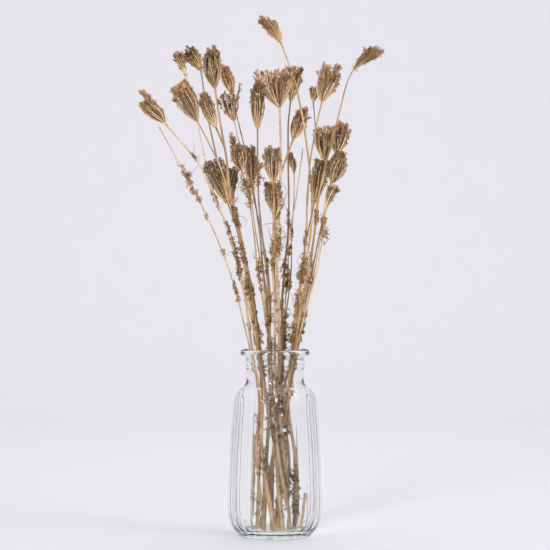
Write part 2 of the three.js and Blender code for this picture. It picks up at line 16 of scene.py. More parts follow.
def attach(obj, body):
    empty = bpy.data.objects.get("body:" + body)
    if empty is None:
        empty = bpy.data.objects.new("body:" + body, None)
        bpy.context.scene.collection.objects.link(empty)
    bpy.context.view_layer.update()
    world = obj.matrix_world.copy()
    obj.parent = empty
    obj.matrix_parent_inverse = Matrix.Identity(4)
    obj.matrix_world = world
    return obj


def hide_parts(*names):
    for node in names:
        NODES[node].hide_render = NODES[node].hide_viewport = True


bl_info = {
    "name": "Dried Wild Carrot",
    "version": (1, 0, 0),
    "blender": (4, 5, 0),
    "location": "3D View > Sidebar > Wild Carrot",
    "description": "A bunch of dried wild carrot standing in a fluted glass vase",
    "category": "Add Mesh",
}

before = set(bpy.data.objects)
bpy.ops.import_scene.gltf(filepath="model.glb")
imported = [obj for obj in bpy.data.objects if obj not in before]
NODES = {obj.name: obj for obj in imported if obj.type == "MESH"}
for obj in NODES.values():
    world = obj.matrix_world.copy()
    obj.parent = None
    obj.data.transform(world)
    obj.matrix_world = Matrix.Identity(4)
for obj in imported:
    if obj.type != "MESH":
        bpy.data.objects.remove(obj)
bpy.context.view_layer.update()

# What one step measures or makes for the next: limbs, the tree for tufts, leaflets and their look
bunch = {}

MM = 0.001
UP = np.array([0.0, 0.0, 1.0])
GOLDEN_ANGLE = math.pi * (3 - math.sqrt(5))

# The vase's wall as radius and height in millimetres: from the middle of the underside, up the outside,
# over the lip and down the inside to the middle of the floor
VASE_OUTSIDE = [
    (0, 1.4), (22, 1.4), (32, 1.1), (37, 0.2), (39.5, 0), (41.3, 0.9), (43, 3.6), (47.2, 8.8),
    (52.2, 18.4), (54.1, 33), (53.6, 60), (52.2, 95), (50.2, 129), (48.6, 147.8), (47.4, 157.5),
    (43.4, 165.4), (36.6, 171.6), (33.4, 177), (33, 184), (33, 192.2), (33.9, 194.6), (33.2, 197),
    (34.2, 200.6), (33.6, 203), (34.8, 205.4), (37.8, 206.8), (39.4, 208.9), (39.6, 211.6),
    (38.8, 213.8), (37.2, 214.9),
]
VASE_INSIDE = [
    (35.6, 214.4), (34.1, 212.6), (32.2, 209), (31, 204.4), (30.6, 198), (30.7, 184), (31.6, 178.6),
    (35, 173.2), (40.4, 168), (44.4, 162.4), (46, 155), (46.4, 147.8), (47.9, 129), (50, 95),
    (51.4, 60), (51.8, 33), (50.4, 23), (47, 14.6), (41.8, 9.4), (35, 7.3), (24, 7), (0, 7),
]
FLOOR_INSIDE = 7 * MM
COLUMNS_PER_FLUTE = 8
# How deep the flutes are inside, as a share of their depth outside
INSIDE_FLUTES = 0.85
WALL_STEP = 3.8 * MM

# How far below the last level that shows it a branch's joint is looked for, in millimetres
JOINT_SEARCH = 80

# How wide each form of umbel is along its length, as shares of its length and of its greatest width
OUTLINES = {
    "fan": [(0, 0.09), (0.12, 0.34), (0.3, 0.68), (0.5, 0.9), (0.7, 1), (0.88, 0.97), (1, 0.86)],
    "egg": [(0, 0.12), (0.1, 0.42), (0.25, 0.78), (0.42, 0.99), (0.6, 0.97), (0.8, 0.76), (0.93, 0.48),
            (1, 0.25)],
    "brush": [(0, 0.1), (0.12, 0.42), (0.3, 0.8), (0.5, 1), (0.7, 0.98), (0.85, 0.88), (1, 0.7)],
    "goblet": [(0, 0.07), (0.12, 0.3), (0.3, 0.6), (0.5, 0.83), (0.7, 0.96), (0.85, 1), (1, 0.97)],
}

# How many shapes of each tuft there are to pick from
VARIANTS = 4

# An umbel's rays stand in shells, one inside the other: how far out each is, how many rays it has as a
# share of the outer shell's, and how light they are. The inner shells' dark tones are partly the brown
# of the seeds inside and partly painted shade in the hollow between the rays
SHELLS = [(1.0, 1.0, (0.5, 1.0)), (0.78, 0.8, (0.0, 0.45)), (0.45, 0.45, (0.0, 0.2))]


@dataclass
class Look:
    """How an umbel looks: its finish, its outline, how unevenly its rays end, how far they wind round it
    and how thinly they stand. Bundles part its rays: the share of the rays, how far to the right and up
    their tips are moved in millimetres, and how wide they spread."""

    finish: str
    outline: str
    ragged: float
    twist: float = 0.12
    airy: float = 0
    bundles: tuple = ((1, 0, 0, 1),)


UMBEL_LOOKS = {
    "umbel_01": Look("golden", "egg", 0.5, bundles=((0.75, 3, -13, 0.78), (0.25, 0, 2, 0.36))),
    "umbel_02": Look("golden", "brush", 0.4, bundles=((1, 4, -4, 0.8),)),
    "umbel_03": Look("brown", "goblet", 0.7, bundles=((1, 0, -1, 0.8),)),
    "umbel_04": Look("dark", "fan", 0.9, bundles=((1, 0, -5, 0.9),)),
    "umbel_05": Look("olive", "egg", 0.9, twist=0.9),
    "umbel_05_side": Look("brown", "egg", 0.5, twist=0.5),
    "umbel_06": Look("reddish", "egg", 0.5),
    "umbel_07": Look("brown", "goblet", 1.2, twist=0.6, airy=0.5),
    "umbel_08": Look("brown", "egg", 0.4, twist=0.9,
                     bundles=((0.75, 5, -13, 1.0), (0.25, -2, 0, 0.3))),
    "umbel_09": Look("dark", "fan", 0.6),
    "umbel_10": Look("dark", "brush", 0.5),
    "umbel_11": Look("dark", "brush", 0.5),
    "umbel_12": Look("dark", "egg", 0.6, twist=0.3),
    "umbel_13": Look("golden", "goblet", 1.3, airy=0.3,
                     bundles=((0.8, -4, 0, 0.9), (0.2, 9, -3, 0.4))),
    "umbel_13_side": Look("golden", "egg", 0.6, twist=0.4),
    "umbel_14": Look("dark", "brush", 0.5, bundles=((1, 2, 1, 1.05),)),
    "umbel_15": Look("reddish", "egg", 0.7, bundles=((1, 1, -1, 0.9),)),
    "umbel_16": Look("golden", "egg", 0.6,
                     bundles=((0.45, -7, 0, 0.5), (0.5, 3, -9, 0.8), (0.1, 9, 0, 0.22))),
    "umbel_16_side": Look("brown", "brush", 0.6),
    "umbel_17": Look("brown", "brush", 1.3, bundles=((0.65, -5, -1, 0.62), (0.35, 3, -4, 0.4))),
    "umbel_18": Look("brown", "fan", 0.9, twist=0.3, airy=0.1),
    "umbel_19": Look("brown", "egg", 0.9, twist=0.3, airy=0.1),
    "umbel_20": Look("brown", "egg", 0.6, twist=1.0),
    "umbel_21": Look("dark", "brush", 0.5),
    "umbel_22": Look("brown", "goblet", 0.2),
    "umbel_23": Look("brown", "brush", 0.4),
    "umbel_24": Look("brown", "brush", 0.6, bundles=((1, -2, 0, 0.85),)),
    "umbel_25": Look("dark", "egg", 0.3, bundles=((1, 0, 0, 0.8),)),
}

# Ray, umbellet and seed colours of each finish
UMBEL_COLOURS = {
    "golden": ("#FCE2BC", "#E0B98E", "#BA9068"),
    "brown": ("#F6DCB2", "#CCA980", "#A47F5B"),
    "olive": ("#EDD5AA", "#BCA276", "#8C7350"),
    "dark": ("#E6C99C", "#A68662", "#75583E"),
    "reddish": ("#EEC79A", "#C79A72", "#9C7150"),
}

# How weathered a stalk is that bears an umbel of each finish
STALK_TONES = {"golden": 0.12, "brown": 0.32, "olive": 0.4, "dark": 0.62, "reddish": 0.42}

# Clumps of dry leaf as they look from the front: x and height of the middle, how far they run up and
# down their stalk from there and how far they stand out, in millimetres, and how rusty they are
CLUMPS = [
    (-90, 434, 3, 4, 0.4), (-98, 420, 5, 6, 0.6), (-95, 410, 6, 9, 0.5), (-91, 400, 7, 6, 0.5),
    (-86, 388, 5, 4, 0.5), (-77, 370, 4, 4, 0.5), (-65, 385, 8, 4, 0.4), (-53, 351, 10, 4, 0.3),
    (-46, 283, 8, 5, 0.5), (-21, 415, 9, 9, 0.75), (-31, 399, 9, 11, 0.6), (-28, 410, 9, 9, 0.8),
    (-38, 388, 8, 7, 0.5), (-38, 358, 5, 7, 0.3), (7.5, 374, 7, 9, 0.9), (5, 345, 9, 10, 0.6),
    (5, 332, 9, 10, 0.5), (18, 366, 8, 4, 0.2), (22, 350, 6, 4, 0.3), (53, 352, 12, 9, 0.6),
    (49, 366, 8, 6, 0.5), (-25, 310, 6, 5, 0.3), (-24, 298, 6, 5, 0.2), (12, 306, 8, 8, 0.3),
    (14, 291, 9, 8, 0.4), (32, 308, 10, 11, 0.5), (30, 297, 9, 10, 0.4), (40, 256, 4, 4, 0.4),
    (-6, 250, 9, 7, 0.3), (-15, 228, 10, 9, 0.4), (-8, 222, 7, 5, 0.3), (13, 236, 8, 9, 0.4),
    (20, 228, 11, 11, 0.3), (9, 262, 8, 6, 0.5), (20, 270, 9, 6, 0.4), (28, 340, 6, 5, 0.5),
    (-4, 318, 7, 7, 0.4), (-2, 330, 7, 6, 0.5), (-40, 325, 12, 6, 0.2), (-38, 372, 9, 7, 0.3),
    (-50, 330, 9, 5, 0.3), (-44, 312, 12, 6, 0.3), (-33, 286, 12, 6, 0.3), (24, 258, 8, 7, 0.4),
    (0, 145, 12, 7, 0.1), (1, 118, 14, 8, 0.1), (-14, 87, 13, 7, 0.05), (13, 53, 13, 9, 0.1),
    (24, 62, 12, 9, 0.05), (27, 36, 14, 9, 0.1), (9, 162, 14, 5, 0.1), (8, 184, 10, 8, 0.3),
    (14, 80, 14, 6, 0.1), (11, 130, 16, 5, 0.05), (12, 105, 14, 5, 0.1), (-6, 60, 12, 6, 0.2),
    (4, 30, 12, 6, 0.1), (-10, 184, 9, 5, 0.2), (20, 196, 10, 7, 0.3), (-2, 190, 12, 7, 0.05),
    (6, 150, 14, 6, 0), (0, 172, 12, 7, 0.15), (-8, 205, 10, 6, 0.3), (12, 214, 10, 7, 0.35),
    (10, 140, 14, 6, 0.15),
]

# The lamps: place, what each points at, width and height in metres, and power in watts
LAMPS = {
    "key_left": ((-0.9, -2.6, 1.75), (0, 0, 0.3), 0.5, 1.2, 40),
    "fill_right": ((1.2, -0.7, 1.5), (0.3, 0.4, 0.45), 0.45, 1.3, 9),
    "wall_wash": ((0, 1.0, 2.3), (0, 3.4, 0.6), 2.0, 0.6, 23),
    "top": ((0.1, 0.15, 1.6), (0, 0.1, 0), 0.9, 0.6, 3.4),
}
SKY_COLOUR = "#F5F4F8"
SKY_STRENGTH = 0.86

# The paper's round wall: its radius, its height and the radius of the bend at its foot, in metres
PAPER_RADIUS = 3.4
PAPER_HEIGHT = 3.0
PAPER_BEND = 1.6


def linear(hex_colour):
    """A linear colour from an sRGB hex value."""
    channels = [int(hex_colour[i:i + 2], 16) / 255 for i in (1, 3, 5)]
    return tuple(c / 12.92 if c <= 0.04045 else ((c + 0.055) / 1.055) ** 2.4 for c in channels)


def size_setting(name, description, default):
    """A length that can be set in the panel."""
    return FloatProperty(name=name, description=description, default=default, unit="LENGTH")


def colour_setting(name, description, hex_colour):
    """A colour that can be set in the panel."""
    return FloatVectorProperty(
        name=name, description=description, default=linear(hex_colour), subtype="COLOR")


class VaseSettings(PropertyGroup):
    flutes: IntProperty(name="Flutes", description="Rounded flutes around the body", default=24, min=6)
    flute_depth: size_setting("Flute depth", "How deep the valleys between two flutes are", 1.1 * MM)
    flute_bottom: size_setting("Flute bottom", "Height at which the flutes start", -3 * MM)
    flute_top: size_setting("Flute top", "Height at which the flutes have faded out", 174 * MM)
    tint: colour_setting("Glass tint", "Colour of the light that a wall lets through", "#FEFEFE")


class StalkSettings(PropertyGroup):
    ribs: IntProperty(name="Ribs", description="Fine ribs around a stalk", default=7, min=3)
    rib_depth: FloatProperty(
        name="Rib depth", description="Depth of the grooves as a share of the girth",
        default=0.13, subtype="FACTOR", min=0, max=0.5)
    knot_spacing: size_setting("Knot spacing", "Usual distance between two knots", 95 * MM)
    knot_swelling: FloatProperty(
        name="Knot swelling", description="How much thicker a stalk is at a knot",
        default=0.28, subtype="FACTOR")
    straw: colour_setting("Straw", "Main colour of the stalks", "#EDD2AF")
    weathered: colour_setting("Weathered", "Greyer colour of old stalks", "#A08B70")


class UmbelSettings(PropertyGroup):
    ray_spacing: size_setting(
        "Ray spacing", "Distance between two rays of the outer shell at its widest", 2.5 * MM)
    ray_girth: size_setting("Ray girth", "Radius of a ray near its root", 0.6 * MM)
    umbellet_length: size_setting("Umbellet length", "Length of the tuft at a ray's end", 6.2 * MM)
    wobble: size_setting("Wobble", "How far a ray strays from its smooth curve", 0.8 * MM)


class LeafSettings(PropertyGroup):
    leaflet_length: size_setting("Leaflet length", "Length of a curled leaflet", 3.4 * MM)
    leaflets: IntProperty(name="Leaflets", description="Leaflets on each curled rib", default=13, min=4)
    pressed_below: size_setting(
        "Pressed below", "Height below which the glass keeps the leaves along their stalk", 218 * MM)
    leafy_top: size_setting(
        "Leafy top", "Height up to which broken leaf sheaths cover the stalks", 335 * MM)
    sheath_spacing: size_setting(
        "Sheath spacing", "Usual distance between two leaf sheaths on a stalk", 56 * MM)
    colour: colour_setting("Leaf colour", "Colour of the dry leaves", "#CFAA6A")


class StageSettings(PropertyGroup):
    paper: colour_setting("Paper", "Colour of the floor and the wall", "#D9D8DB")
    brightness: FloatProperty(name="Brightness", description="Strength of all lamps", default=1, min=0)
    camera_distance: size_setting("Camera distance", "From the vase's axis", 2.4)
    camera_height: size_setting("Camera height", "Above the floor", 0.3)
    view_angle: FloatProperty(
        name="View angle", description="Width of the view", default=math.radians(15), subtype="ANGLE")


# Short forms of the nodes that the materials and the trees use often


def add(tree, kind, inputs=None, **settings):
    """Adds a node to a tree, sets it up, and links or sets its inputs."""
    made = tree.nodes.new(kind)
    for name, value in settings.items():
        setattr(made, name, value)
    for key, value in (inputs or {}).items():
        if isinstance(value, bpy.types.NodeSocket):
            tree.links.new(value, made.inputs[key])
        else:
            made.inputs[key].default_value = value
    return made


def calculate(tree, operation, *numbers):
    """The outcome of one calculation."""
    return add(tree, "ShaderNodeMath", dict(enumerate(numbers)), operation=operation).outputs[0]


def map_range(tree, value, low, high, new_low=0.0, new_high=1.0, **settings):
    """A value that is moved from one range to another."""
    return add(tree, "ShaderNodeMapRange", {
        "Value": value, "From Min": low, "From Max": high, "To Min": new_low, "To Max": new_high},
        **settings).outputs[0]


def grown_value(tree, name):
    """A value that a shape's points carry, read in a material."""
    return add(tree, "ShaderNodeAttribute", attribute_name=name).outputs["Fac"]


def cloudy(tree, place, scale, detail):
    """How light a soft, cloudy pattern is."""
    return add(tree, "ShaderNodeTexNoise", {
        "Vector": place, "Scale": scale, "Detail": detail}).outputs["Fac"]


def stretched(tree, place, share):
    """Coordinates that draw a pattern out along the height."""
    return add(tree, "ShaderNodeMapping", {"Vector": place, "Scale": (1.0, 1.0, share)}).outputs[0]


def mix(tree, factor, first, second, blend="MIX"):
    """Two colours in one."""
    return add(tree, "ShaderNodeMix", {"Factor": factor, "A": first, "B": second},
               data_type="RGBA", blend_type=blend).outputs[2]


def colour_ramp(tree, value, stops):
    """A value turned into a colour by stops, each of them a value and its colour."""
    ramp = add(tree, "ShaderNodeValToRGB", {0: value})
    elements = ramp.color_ramp.elements
    for i, (position, colour) in enumerate(stops):
        stop = elements[i] if i < 2 else elements.new(position)
        stop.position = position
        stop.color = (*colour, 1)
    return ramp.outputs[0]


def bumps(tree, height, strength, distance):
    """A surface's direction, tilted by a pattern of small heights."""
    return add(tree, "ShaderNodeBump", {
        "Strength": strength, "Distance": distance, "Height": height}).outputs["Normal"]


def new_material(name):
    """An empty material, its tree, and the object's own coordinates in it."""
    material = bpy.data.materials.new(name)
    material.use_nodes = True
    tree = material.node_tree
    tree.nodes.clear()
    return material, tree, add(tree, "ShaderNodeTexCoord").outputs["Object"]


# Materials


def pressed_soda_lime_glass():
    """Soda-lime glass, pressed in a mould: clear and smooth, with a faint green tint where it is thick, and
    slow waves that bend what stands behind it. Lamps shine through it, so the stalks inside are lit."""
    material, tree, place = new_material("pressed_soda_lime_glass")
    waves = cloudy(tree, place, 45.0, 1.0)
    glass = add(tree, "ShaderNodeBsdfPrincipled", {
        "Base Color": (*bpy.context.scene.wild_carrot_vase.tint, 1), "Roughness": 0.0, "IOR": 1.34,
        "Transmission Weight": 1.0, "Specular IOR Level": 0.9,
        "Normal": bumps(tree, waves, 0.25, 0.4 * MM)})
    clear = add(tree, "ShaderNodeBsdfTransparent", {"Color": (0.93, 0.95, 0.945, 1)})
    shaded = add(tree, "ShaderNodeLightPath").outputs["Is Shadow Ray"]
    surface = add(tree, "ShaderNodeMixShader", {0: shaded, 1: glass.outputs[0], 2: clear.outputs[0]})
    body = add(tree, "ShaderNodeVolumeAbsorption", {"Color": (*linear("#9AD3C6"), 1), "Density": 4.0})
    add(tree, "ShaderNodeOutputMaterial", {"Surface": surface.outputs[0], "Volume": body.outputs[0]})
    return material


def dried_straw_stalk():
    """A dried herb stem: matt and straw-coloured, browner low down, with fine pale fibres along it, long
    greyer streaks where it weathered, and blotches where its skin peeled. Fibres are about 0.7 mm apart."""
    material, tree, place = new_material("dried_straw_stalk")
    settings = bpy.context.scene.wild_carrot_stalks
    patches = cloudy(tree, stretched(tree, place, 0.25), 110.0, 4.0)
    height = add(tree, "ShaderNodeSeparateXYZ", {0: place}).outputs[2]
    # Darker towards the bottom, from 0.25 m down to 0.17 m, on top of the weathered patches and tone
    low = map_range(tree, height, 0.25, 0.17, 0.0, 0.38)
    worn_and_lower_down = calculate(tree, "ADD", calculate(tree, "ADD", patches, grown_value(tree, "tone")), low)
    base = colour_ramp(tree, map_range(tree, worn_and_lower_down, 0.45, 1.25), [
        (0.0, settings.straw), (0.25, linear("#DFC3A0")), (0.5, linear("#C09B72")),
        (0.75, linear("#9C7850")), (1.0, settings.weathered)])
    fibres = cloudy(tree, stretched(tree, place, 0.06), 1500.0, 3.0)
    return finish_plant(material, tree, base, fibres, cloudy(tree, place, 330.0, 3.0), 0.62)


def finish_plant(material, tree, base, fibres, freckles, roughness):
    """Lays fibres and freckles over a plant's base colour and gives it a dry, matt surface."""
    streaked = mix(tree, 1.0, base, map_range(tree, fibres, 0.3, 0.7, 0.7, 1.25), "MULTIPLY")
    spots = map_range(tree, freckles, 0.55, 0.7, 0.0, 0.45)
    spotted = mix(tree, spots, streaked, (*linear("#6E4A2C"), 1))
    dry = add(tree, "ShaderNodeBsdfPrincipled", {
        "Base Color": spotted, "Roughness": roughness, "IOR": 1.45, "Specular IOR Level": 0.35,
        "Normal": bumps(tree, fibres, 0.5, 0.15 * MM)})
    add(tree, "ShaderNodeOutputMaterial", {"Surface": dry.outputs[0]})
    return material


def dried_umbel(finish):
    """A dried umbel: straw-coloured rays that brown towards their ends, brown umbellets and darker, dull
    seeds. Where one part ends and the next begins comes from how far along its umbel it grew. A tone
    darkens or lightens each part: at random on the outside, and as painted shade deep inside the umbel."""
    material, tree, place = new_material(f"dried_umbel_{finish}")
    ray, umbellet, seed = (linear(colour) for colour in UMBEL_COLOURS[finish])
    parts = colour_ramp(tree, grown_value(tree, "along"), [
        (0.0, ray), (0.45, ray), (0.72, umbellet), (0.9, umbellet), (1.0, seed)])
    # Tone runs from dark brown to light straw: random tone, plus painted shade on the rays and seeds inside
    tone_and_painted_shade = mix(tree, grown_value(tree, "tone"), (0.25, 0.17, 0.1, 1), (1.4, 1.37, 1.3, 1))
    base = mix(tree, 1.0, parts, tone_and_painted_shade, "MULTIPLY")
    fibres = cloudy(tree, place, 900.0, 2.0)
    return finish_plant(material, tree, base, fibres, cloudy(tree, place, 300.0, 3.0), 0.75)


def dried_leaf():
    """Dry, crumpled leaves: dull brown, olive in places and rusty in others, with a rough skin."""
    material, tree, place = new_material("dried_leaf")
    base = colour_ramp(tree, grown_value(tree, "tone"), [
        (0.0, linear("#58422A")), (0.25, linear("#A08558")),
        (0.45, bpy.context.scene.wild_carrot_leaves.colour), (0.65, linear("#E2C08C")),
        (0.82, linear("#CC9460")), (1.0, linear("#A5653C"))])
    fibres = cloudy(tree, place, 700.0, 3.0)
    return finish_plant(material, tree, base, fibres, cloudy(tree, place, 260.0, 3.0), 0.8)


def matt_paper():
    """Background paper: quite matt and even, a little lavender."""
    material, tree, place = new_material("matt_paper")
    grain = cloudy(tree, place, 400.0, 2.0)
    sheet = add(tree, "ShaderNodeBsdfPrincipled", {
        "Base Color": (*bpy.context.scene.wild_carrot_stage.paper, 1), "Roughness": 0.9,
        "Specular IOR Level": 0.1, "Normal": bumps(tree, grain, 0.04, 0.2 * MM)})
    add(tree, "ShaderNodeOutputMaterial", {"Surface": sheet.outputs[0]})
    return material


# Measuring the CAD solids


def unit(vector):
    """The same way as a vector, one long."""
    return vector / np.linalg.norm(vector)


def solid_of(name):
    """A CAD node's corners and triangles, with shared corners merged."""
    copy = bmesh.new()
    copy.from_mesh(NODES[name].data)
    bmesh.ops.remove_doubles(copy, verts=copy.verts, dist=1e-7)
    copy.verts.index_update()
    corners = np.array([vertex.co for vertex in copy.verts])
    triangles = np.array([[vertex.index for vertex in face.verts] for face in copy.faces])
    copy.free()
    return corners, triangles


def outlines_at(corners, triangles, place, way):
    """The middle, the girth and the points of each outline that a plane cuts out of a solid."""
    heights = (corners - place) @ way + 1e-9
    above = heights[triangles] > 0
    neighbours = {}
    for triangle in triangles[above.any(1) & ~above.all(1)]:
        crossed = [tuple(sorted((triangle[i], triangle[i - 1]))) for i in range(3)
                   if (heights[triangle[i]] > 0) != (heights[triangle[i - 1]] > 0)]
        neighbours.setdefault(crossed[0], []).append(crossed[1])
        neighbours.setdefault(crossed[1], []).append(crossed[0])
    outlines = []
    while neighbours:
        edge = next(iter(neighbours))
        points = []
        while edge is not None:
            low, high = edge
            share = heights[low] / (heights[low] - heights[high])
            points.append(corners[low] + (corners[high] - corners[low]) * share)
            beyond = [other for other in neighbours.pop(edge) if other in neighbours]
            edge = beyond[0] if beyond else None
        outlines.append(outline_facts(np.array(points)))
    return outlines


def outline_facts(points):
    """An outline's middle, the radius of a circle with its area, and its points."""
    hub = points.mean(0)
    arms = points - hub
    areas = np.cross(arms, np.roll(arms, -1, axis=0)) / 2
    total = areas.sum(0)
    area = np.linalg.norm(total)
    if area < 1e-12:
        return hub, 0.0, points
    shares = areas @ (total / area) / area
    middle = hub + ((arms + np.roll(arms, -1, axis=0)) / 3 * shares[:, None]).sum(0)
    return middle, math.sqrt(area / math.pi), points


def closest(outlines, place):
    """The outline whose middle is closest to a place."""
    return min(outlines, key=lambda outline: np.linalg.norm(outline[0] - place))


def follow(solid, start, way, girth, heights):
    """Middle points and girths of the limb that starts at a point, level by level. A level where a leaf or
    a twig hides the limb's own outline is skipped."""
    points, girths = [np.array(start)], [girth]
    slope = np.array(way) / way[2]
    for height in heights:
        rise = height - points[-1][2]
        expected = points[-1] + slope * rise
        outlines = outlines_at(*solid, np.array([0, 0, height]), UP)
        if not outlines:
            continue
        middle, radius, _ = closest(outlines, expected)
        lean = math.sqrt(1 / math.sqrt(1 + slope[0] ** 2 + slope[1] ** 2))
        miss = np.linalg.norm(middle - expected)
        if miss > MM + 0.2 * abs(rise) or not 0.91 < radius * lean / girths[-1] < 1.1:
            continue
        points.append(middle)
        girths.append(radius * lean)
        earlier = points[max(-4, -len(points))]
        slope = (middle - earlier) / (middle[2] - earlier[2])
    return np.array(points), np.array(girths)


def foot_of(corners):
    """The middle of the flat end that a stalk stands on."""
    return corners[corners[:, 2] < corners[:, 2].min() + 0.5 * MM].mean(0)


def limb_tip(corners, points, girth):
    """Where a limb's flat end is, in line with its last points."""
    way = unit(points[-1] - points[-2])
    arms = corners - points[-1]
    reach = arms @ way
    near = np.linalg.norm(arms - np.outer(reach, way), axis=1) < girth * 1.5
    return points[-1] + way * reach[near & (reach > -girth) & (reach < 25 * MM)].max()


def cap_under(corners, umbel_corners):
    """The middle of the flat end that an umbel stands on, and how close the two are."""
    gaps = np.linalg.norm(corners[:, None] - umbel_corners[None], axis=2).min(1)
    return corners[gaps < gaps.min() + 1.2 * MM].mean(0), gaps.min()


class Limb:
    """A stalk, a branch or a twig: its middle points from the bottom up, and its girth at each."""

    def __init__(self, points, girths):
        self.points = np.array(points)
        self.girths = np.array(girths)
        self.way = unit(self.points[-1] - self.points[-2])

    def nearest(self, place):
        """The nearest point of the middle line, the girth there and how far away it is."""
        starts, arms = self.points[:-1], np.diff(self.points, axis=0)
        shares = np.einsum("ij,ij->i", place - starts, arms) / np.einsum("ij,ij->i", arms, arms)
        on_line = starts + arms * np.clip(shares, 0, 1)[:, None]
        away = np.linalg.norm(on_line - place, axis=1)
        best = int(away.argmin())
        return on_line[best], self.girths[best], away[best]

    def at_height(self, height):
        """The point of the middle line at a height."""
        return np.array([np.interp(height, self.points[:, 2], self.points[:, axis]) for axis in range(3)])


def nearest_on(limbs, place):
    """The nearest point on any of the limbs, the girth there and how far away it is."""
    return min((limb.nearest(place) for limb in limbs.values()), key=lambda near: near[2])


def measure_bare_stalk(solid):
    """A stalk without an umbel, from its foot on the vase's floor to its tip."""
    corners = solid[0]
    foot = foot_of(corners)
    start, girth, _ = closest(outlines_at(*solid, foot + 3 * MM * UP, UP), foot)
    levels = np.arange(foot[2] + 6 * MM, corners[:, 2].max(), 4 * MM)
    points, girths = follow(solid, foot, start - foot, girth, levels)
    tip = limb_tip(corners, points, girths[-1])
    return Limb(np.vstack([points, tip]), np.append(girths, girths[-1]))


def measure_limbs(solid, caps):
    """A stem node's limbs, one for each umbel's name: the stoutest is the stalk, which reaches the vase's
    floor, and the others are followed down to where they leave a limb that is known already."""
    corners = solid[0]
    starts = {umbel: closest(outlines_at(*solid, cap - 4 * MM * UP, UP), cap)
              for umbel, cap in caps.items()}
    limbs = {}
    for umbel in sorted(starts, key=lambda umbel: -starts[umbel][1]):
        cap, (start, girth, _) = caps[umbel], starts[umbel]
        levels = np.arange(start[2] - 3 * MM, corners[:, 2].min() + 2 * MM, -3 * MM)
        points, girths = follow(solid, start, start - cap, girth, levels)
        foot = foot_of(corners)
        if limbs:
            ends = [nearest_on(limbs, point) for point in points]
            apart = [away > 1.3 * thickness for _, thickness, away in ends]
            count = max(2, len(apart) if all(apart) else apart.index(False))
            points, girths = points[:count], girths[:count]
            slope = points[-1] - points[max(-5, -len(points))]
            slope /= slope[2]
            below = [points[-1] - slope * fall * MM for fall in range(JOINT_SEARCH)]
            foot = min((nearest_on(limbs, point) for point in below), key=lambda near: near[2])[0]
        line = np.vstack([foot, points[::-1], cap])
        limbs[umbel] = Limb(line, np.concatenate([[girths[-1]], girths[::-1], [girths[0]]]))
    return limbs


def measure_bunch():
    """Every stem node's limbs by the umbel that each bears, the stalk first."""
    stems = {name: solid_of(name) for name in sorted(NODES) if name.startswith("stem_")}
    caps = {name: {} for name in stems}
    for umbel in sorted(NODES):
        if umbel.startswith("umbel_"):
            umbel_corners = solid_of(umbel)[0]
            ends = {name: cap_under(corners, umbel_corners) for name, (corners, _) in stems.items()}
            nearest = min(ends, key=lambda name: ends[name][1])
            caps[nearest][umbel] = ends[nearest][0]
    return {name: measure_limbs(solid, caps[name]) if caps[name] else {"bare": measure_bare_stalk(solid)}
            for name, solid in stems.items()}


class UmbelForm:
    """An umbel's own line and width, fitted to its CAD solid."""

    stations = np.linspace(0.22, 0.97, 12)

    def __init__(self, name, limb, outline):
        corners, triangles = solid_of(name)
        self.base = limb.points[-1] + limb.way * 0.2 * MM
        chord = corners.mean(0) - self.base
        for _ in range(3):
            reach = (corners - self.base) @ unit(chord)
            chord = corners[reach > 0.78 * reach.max()].mean(0) - self.base
        chord = unit(chord)
        self.length = ((corners - self.base) @ chord).max()
        self.across = unit(np.cross(chord, [0.0, 1.0, 0.0]))
        self.beside = np.cross(chord, self.across)
        middles, radii = [], []
        for share in self.stations:
            place = self.base + chord * share * self.length
            points = np.vstack([cut[2] for cut in outlines_at(corners, triangles, place, chord)])
            sideways = np.stack([(points - place) @ self.across, (points - place) @ self.beside], 1)
            middle = (sideways.max(0) + sideways.min(0)) / 2
            middles.append(place + middle @ np.stack([self.across, self.beside]))
            radii.append(np.linalg.norm(sideways - middle, axis=1).max())
        bases = np.stack([2 * (1 - self.stations) * self.stations, self.stations ** 2], 1)
        self.bends = np.linalg.lstsq(bases, np.array(middles) - self.base, rcond=None)[0]
        self.widest = max(np.convolve(radii, [0.25, 0.5, 0.25], mode="valid"))
        self.shares = np.linspace(0, 1, 41)
        rough = np.interp(self.shares, *np.array(OUTLINES[outline]).T)
        weights = [0.04, 0.11, 0.22, 0.26, 0.22, 0.11, 0.04]
        rounded = np.convolve(np.pad(rough, 3, mode="edge"), weights, "valid")
        self.radii = np.maximum(rounded * self.widest, limb.girths[-1] * 0.8)

    def middle(self, share):
        """The point of its middle line at a share of its length."""
        return self.base + 2 * (1 - share) * share * self.bends[0] + share ** 2 * self.bends[1]

    def reach(self, share):
        """How far its rays stand out at a share of its length."""
        return float(np.interp(share, self.shares, self.radii))

    def outward(self, angle):
        """The way that points out from its middle line at an angle."""
        return self.across * math.cos(angle) + self.beside * math.sin(angle)

    def place(self, share, angle, out):
        """A point beside its middle line."""
        return self.middle(share) + self.outward(angle) * out


# Guides and what grows along them


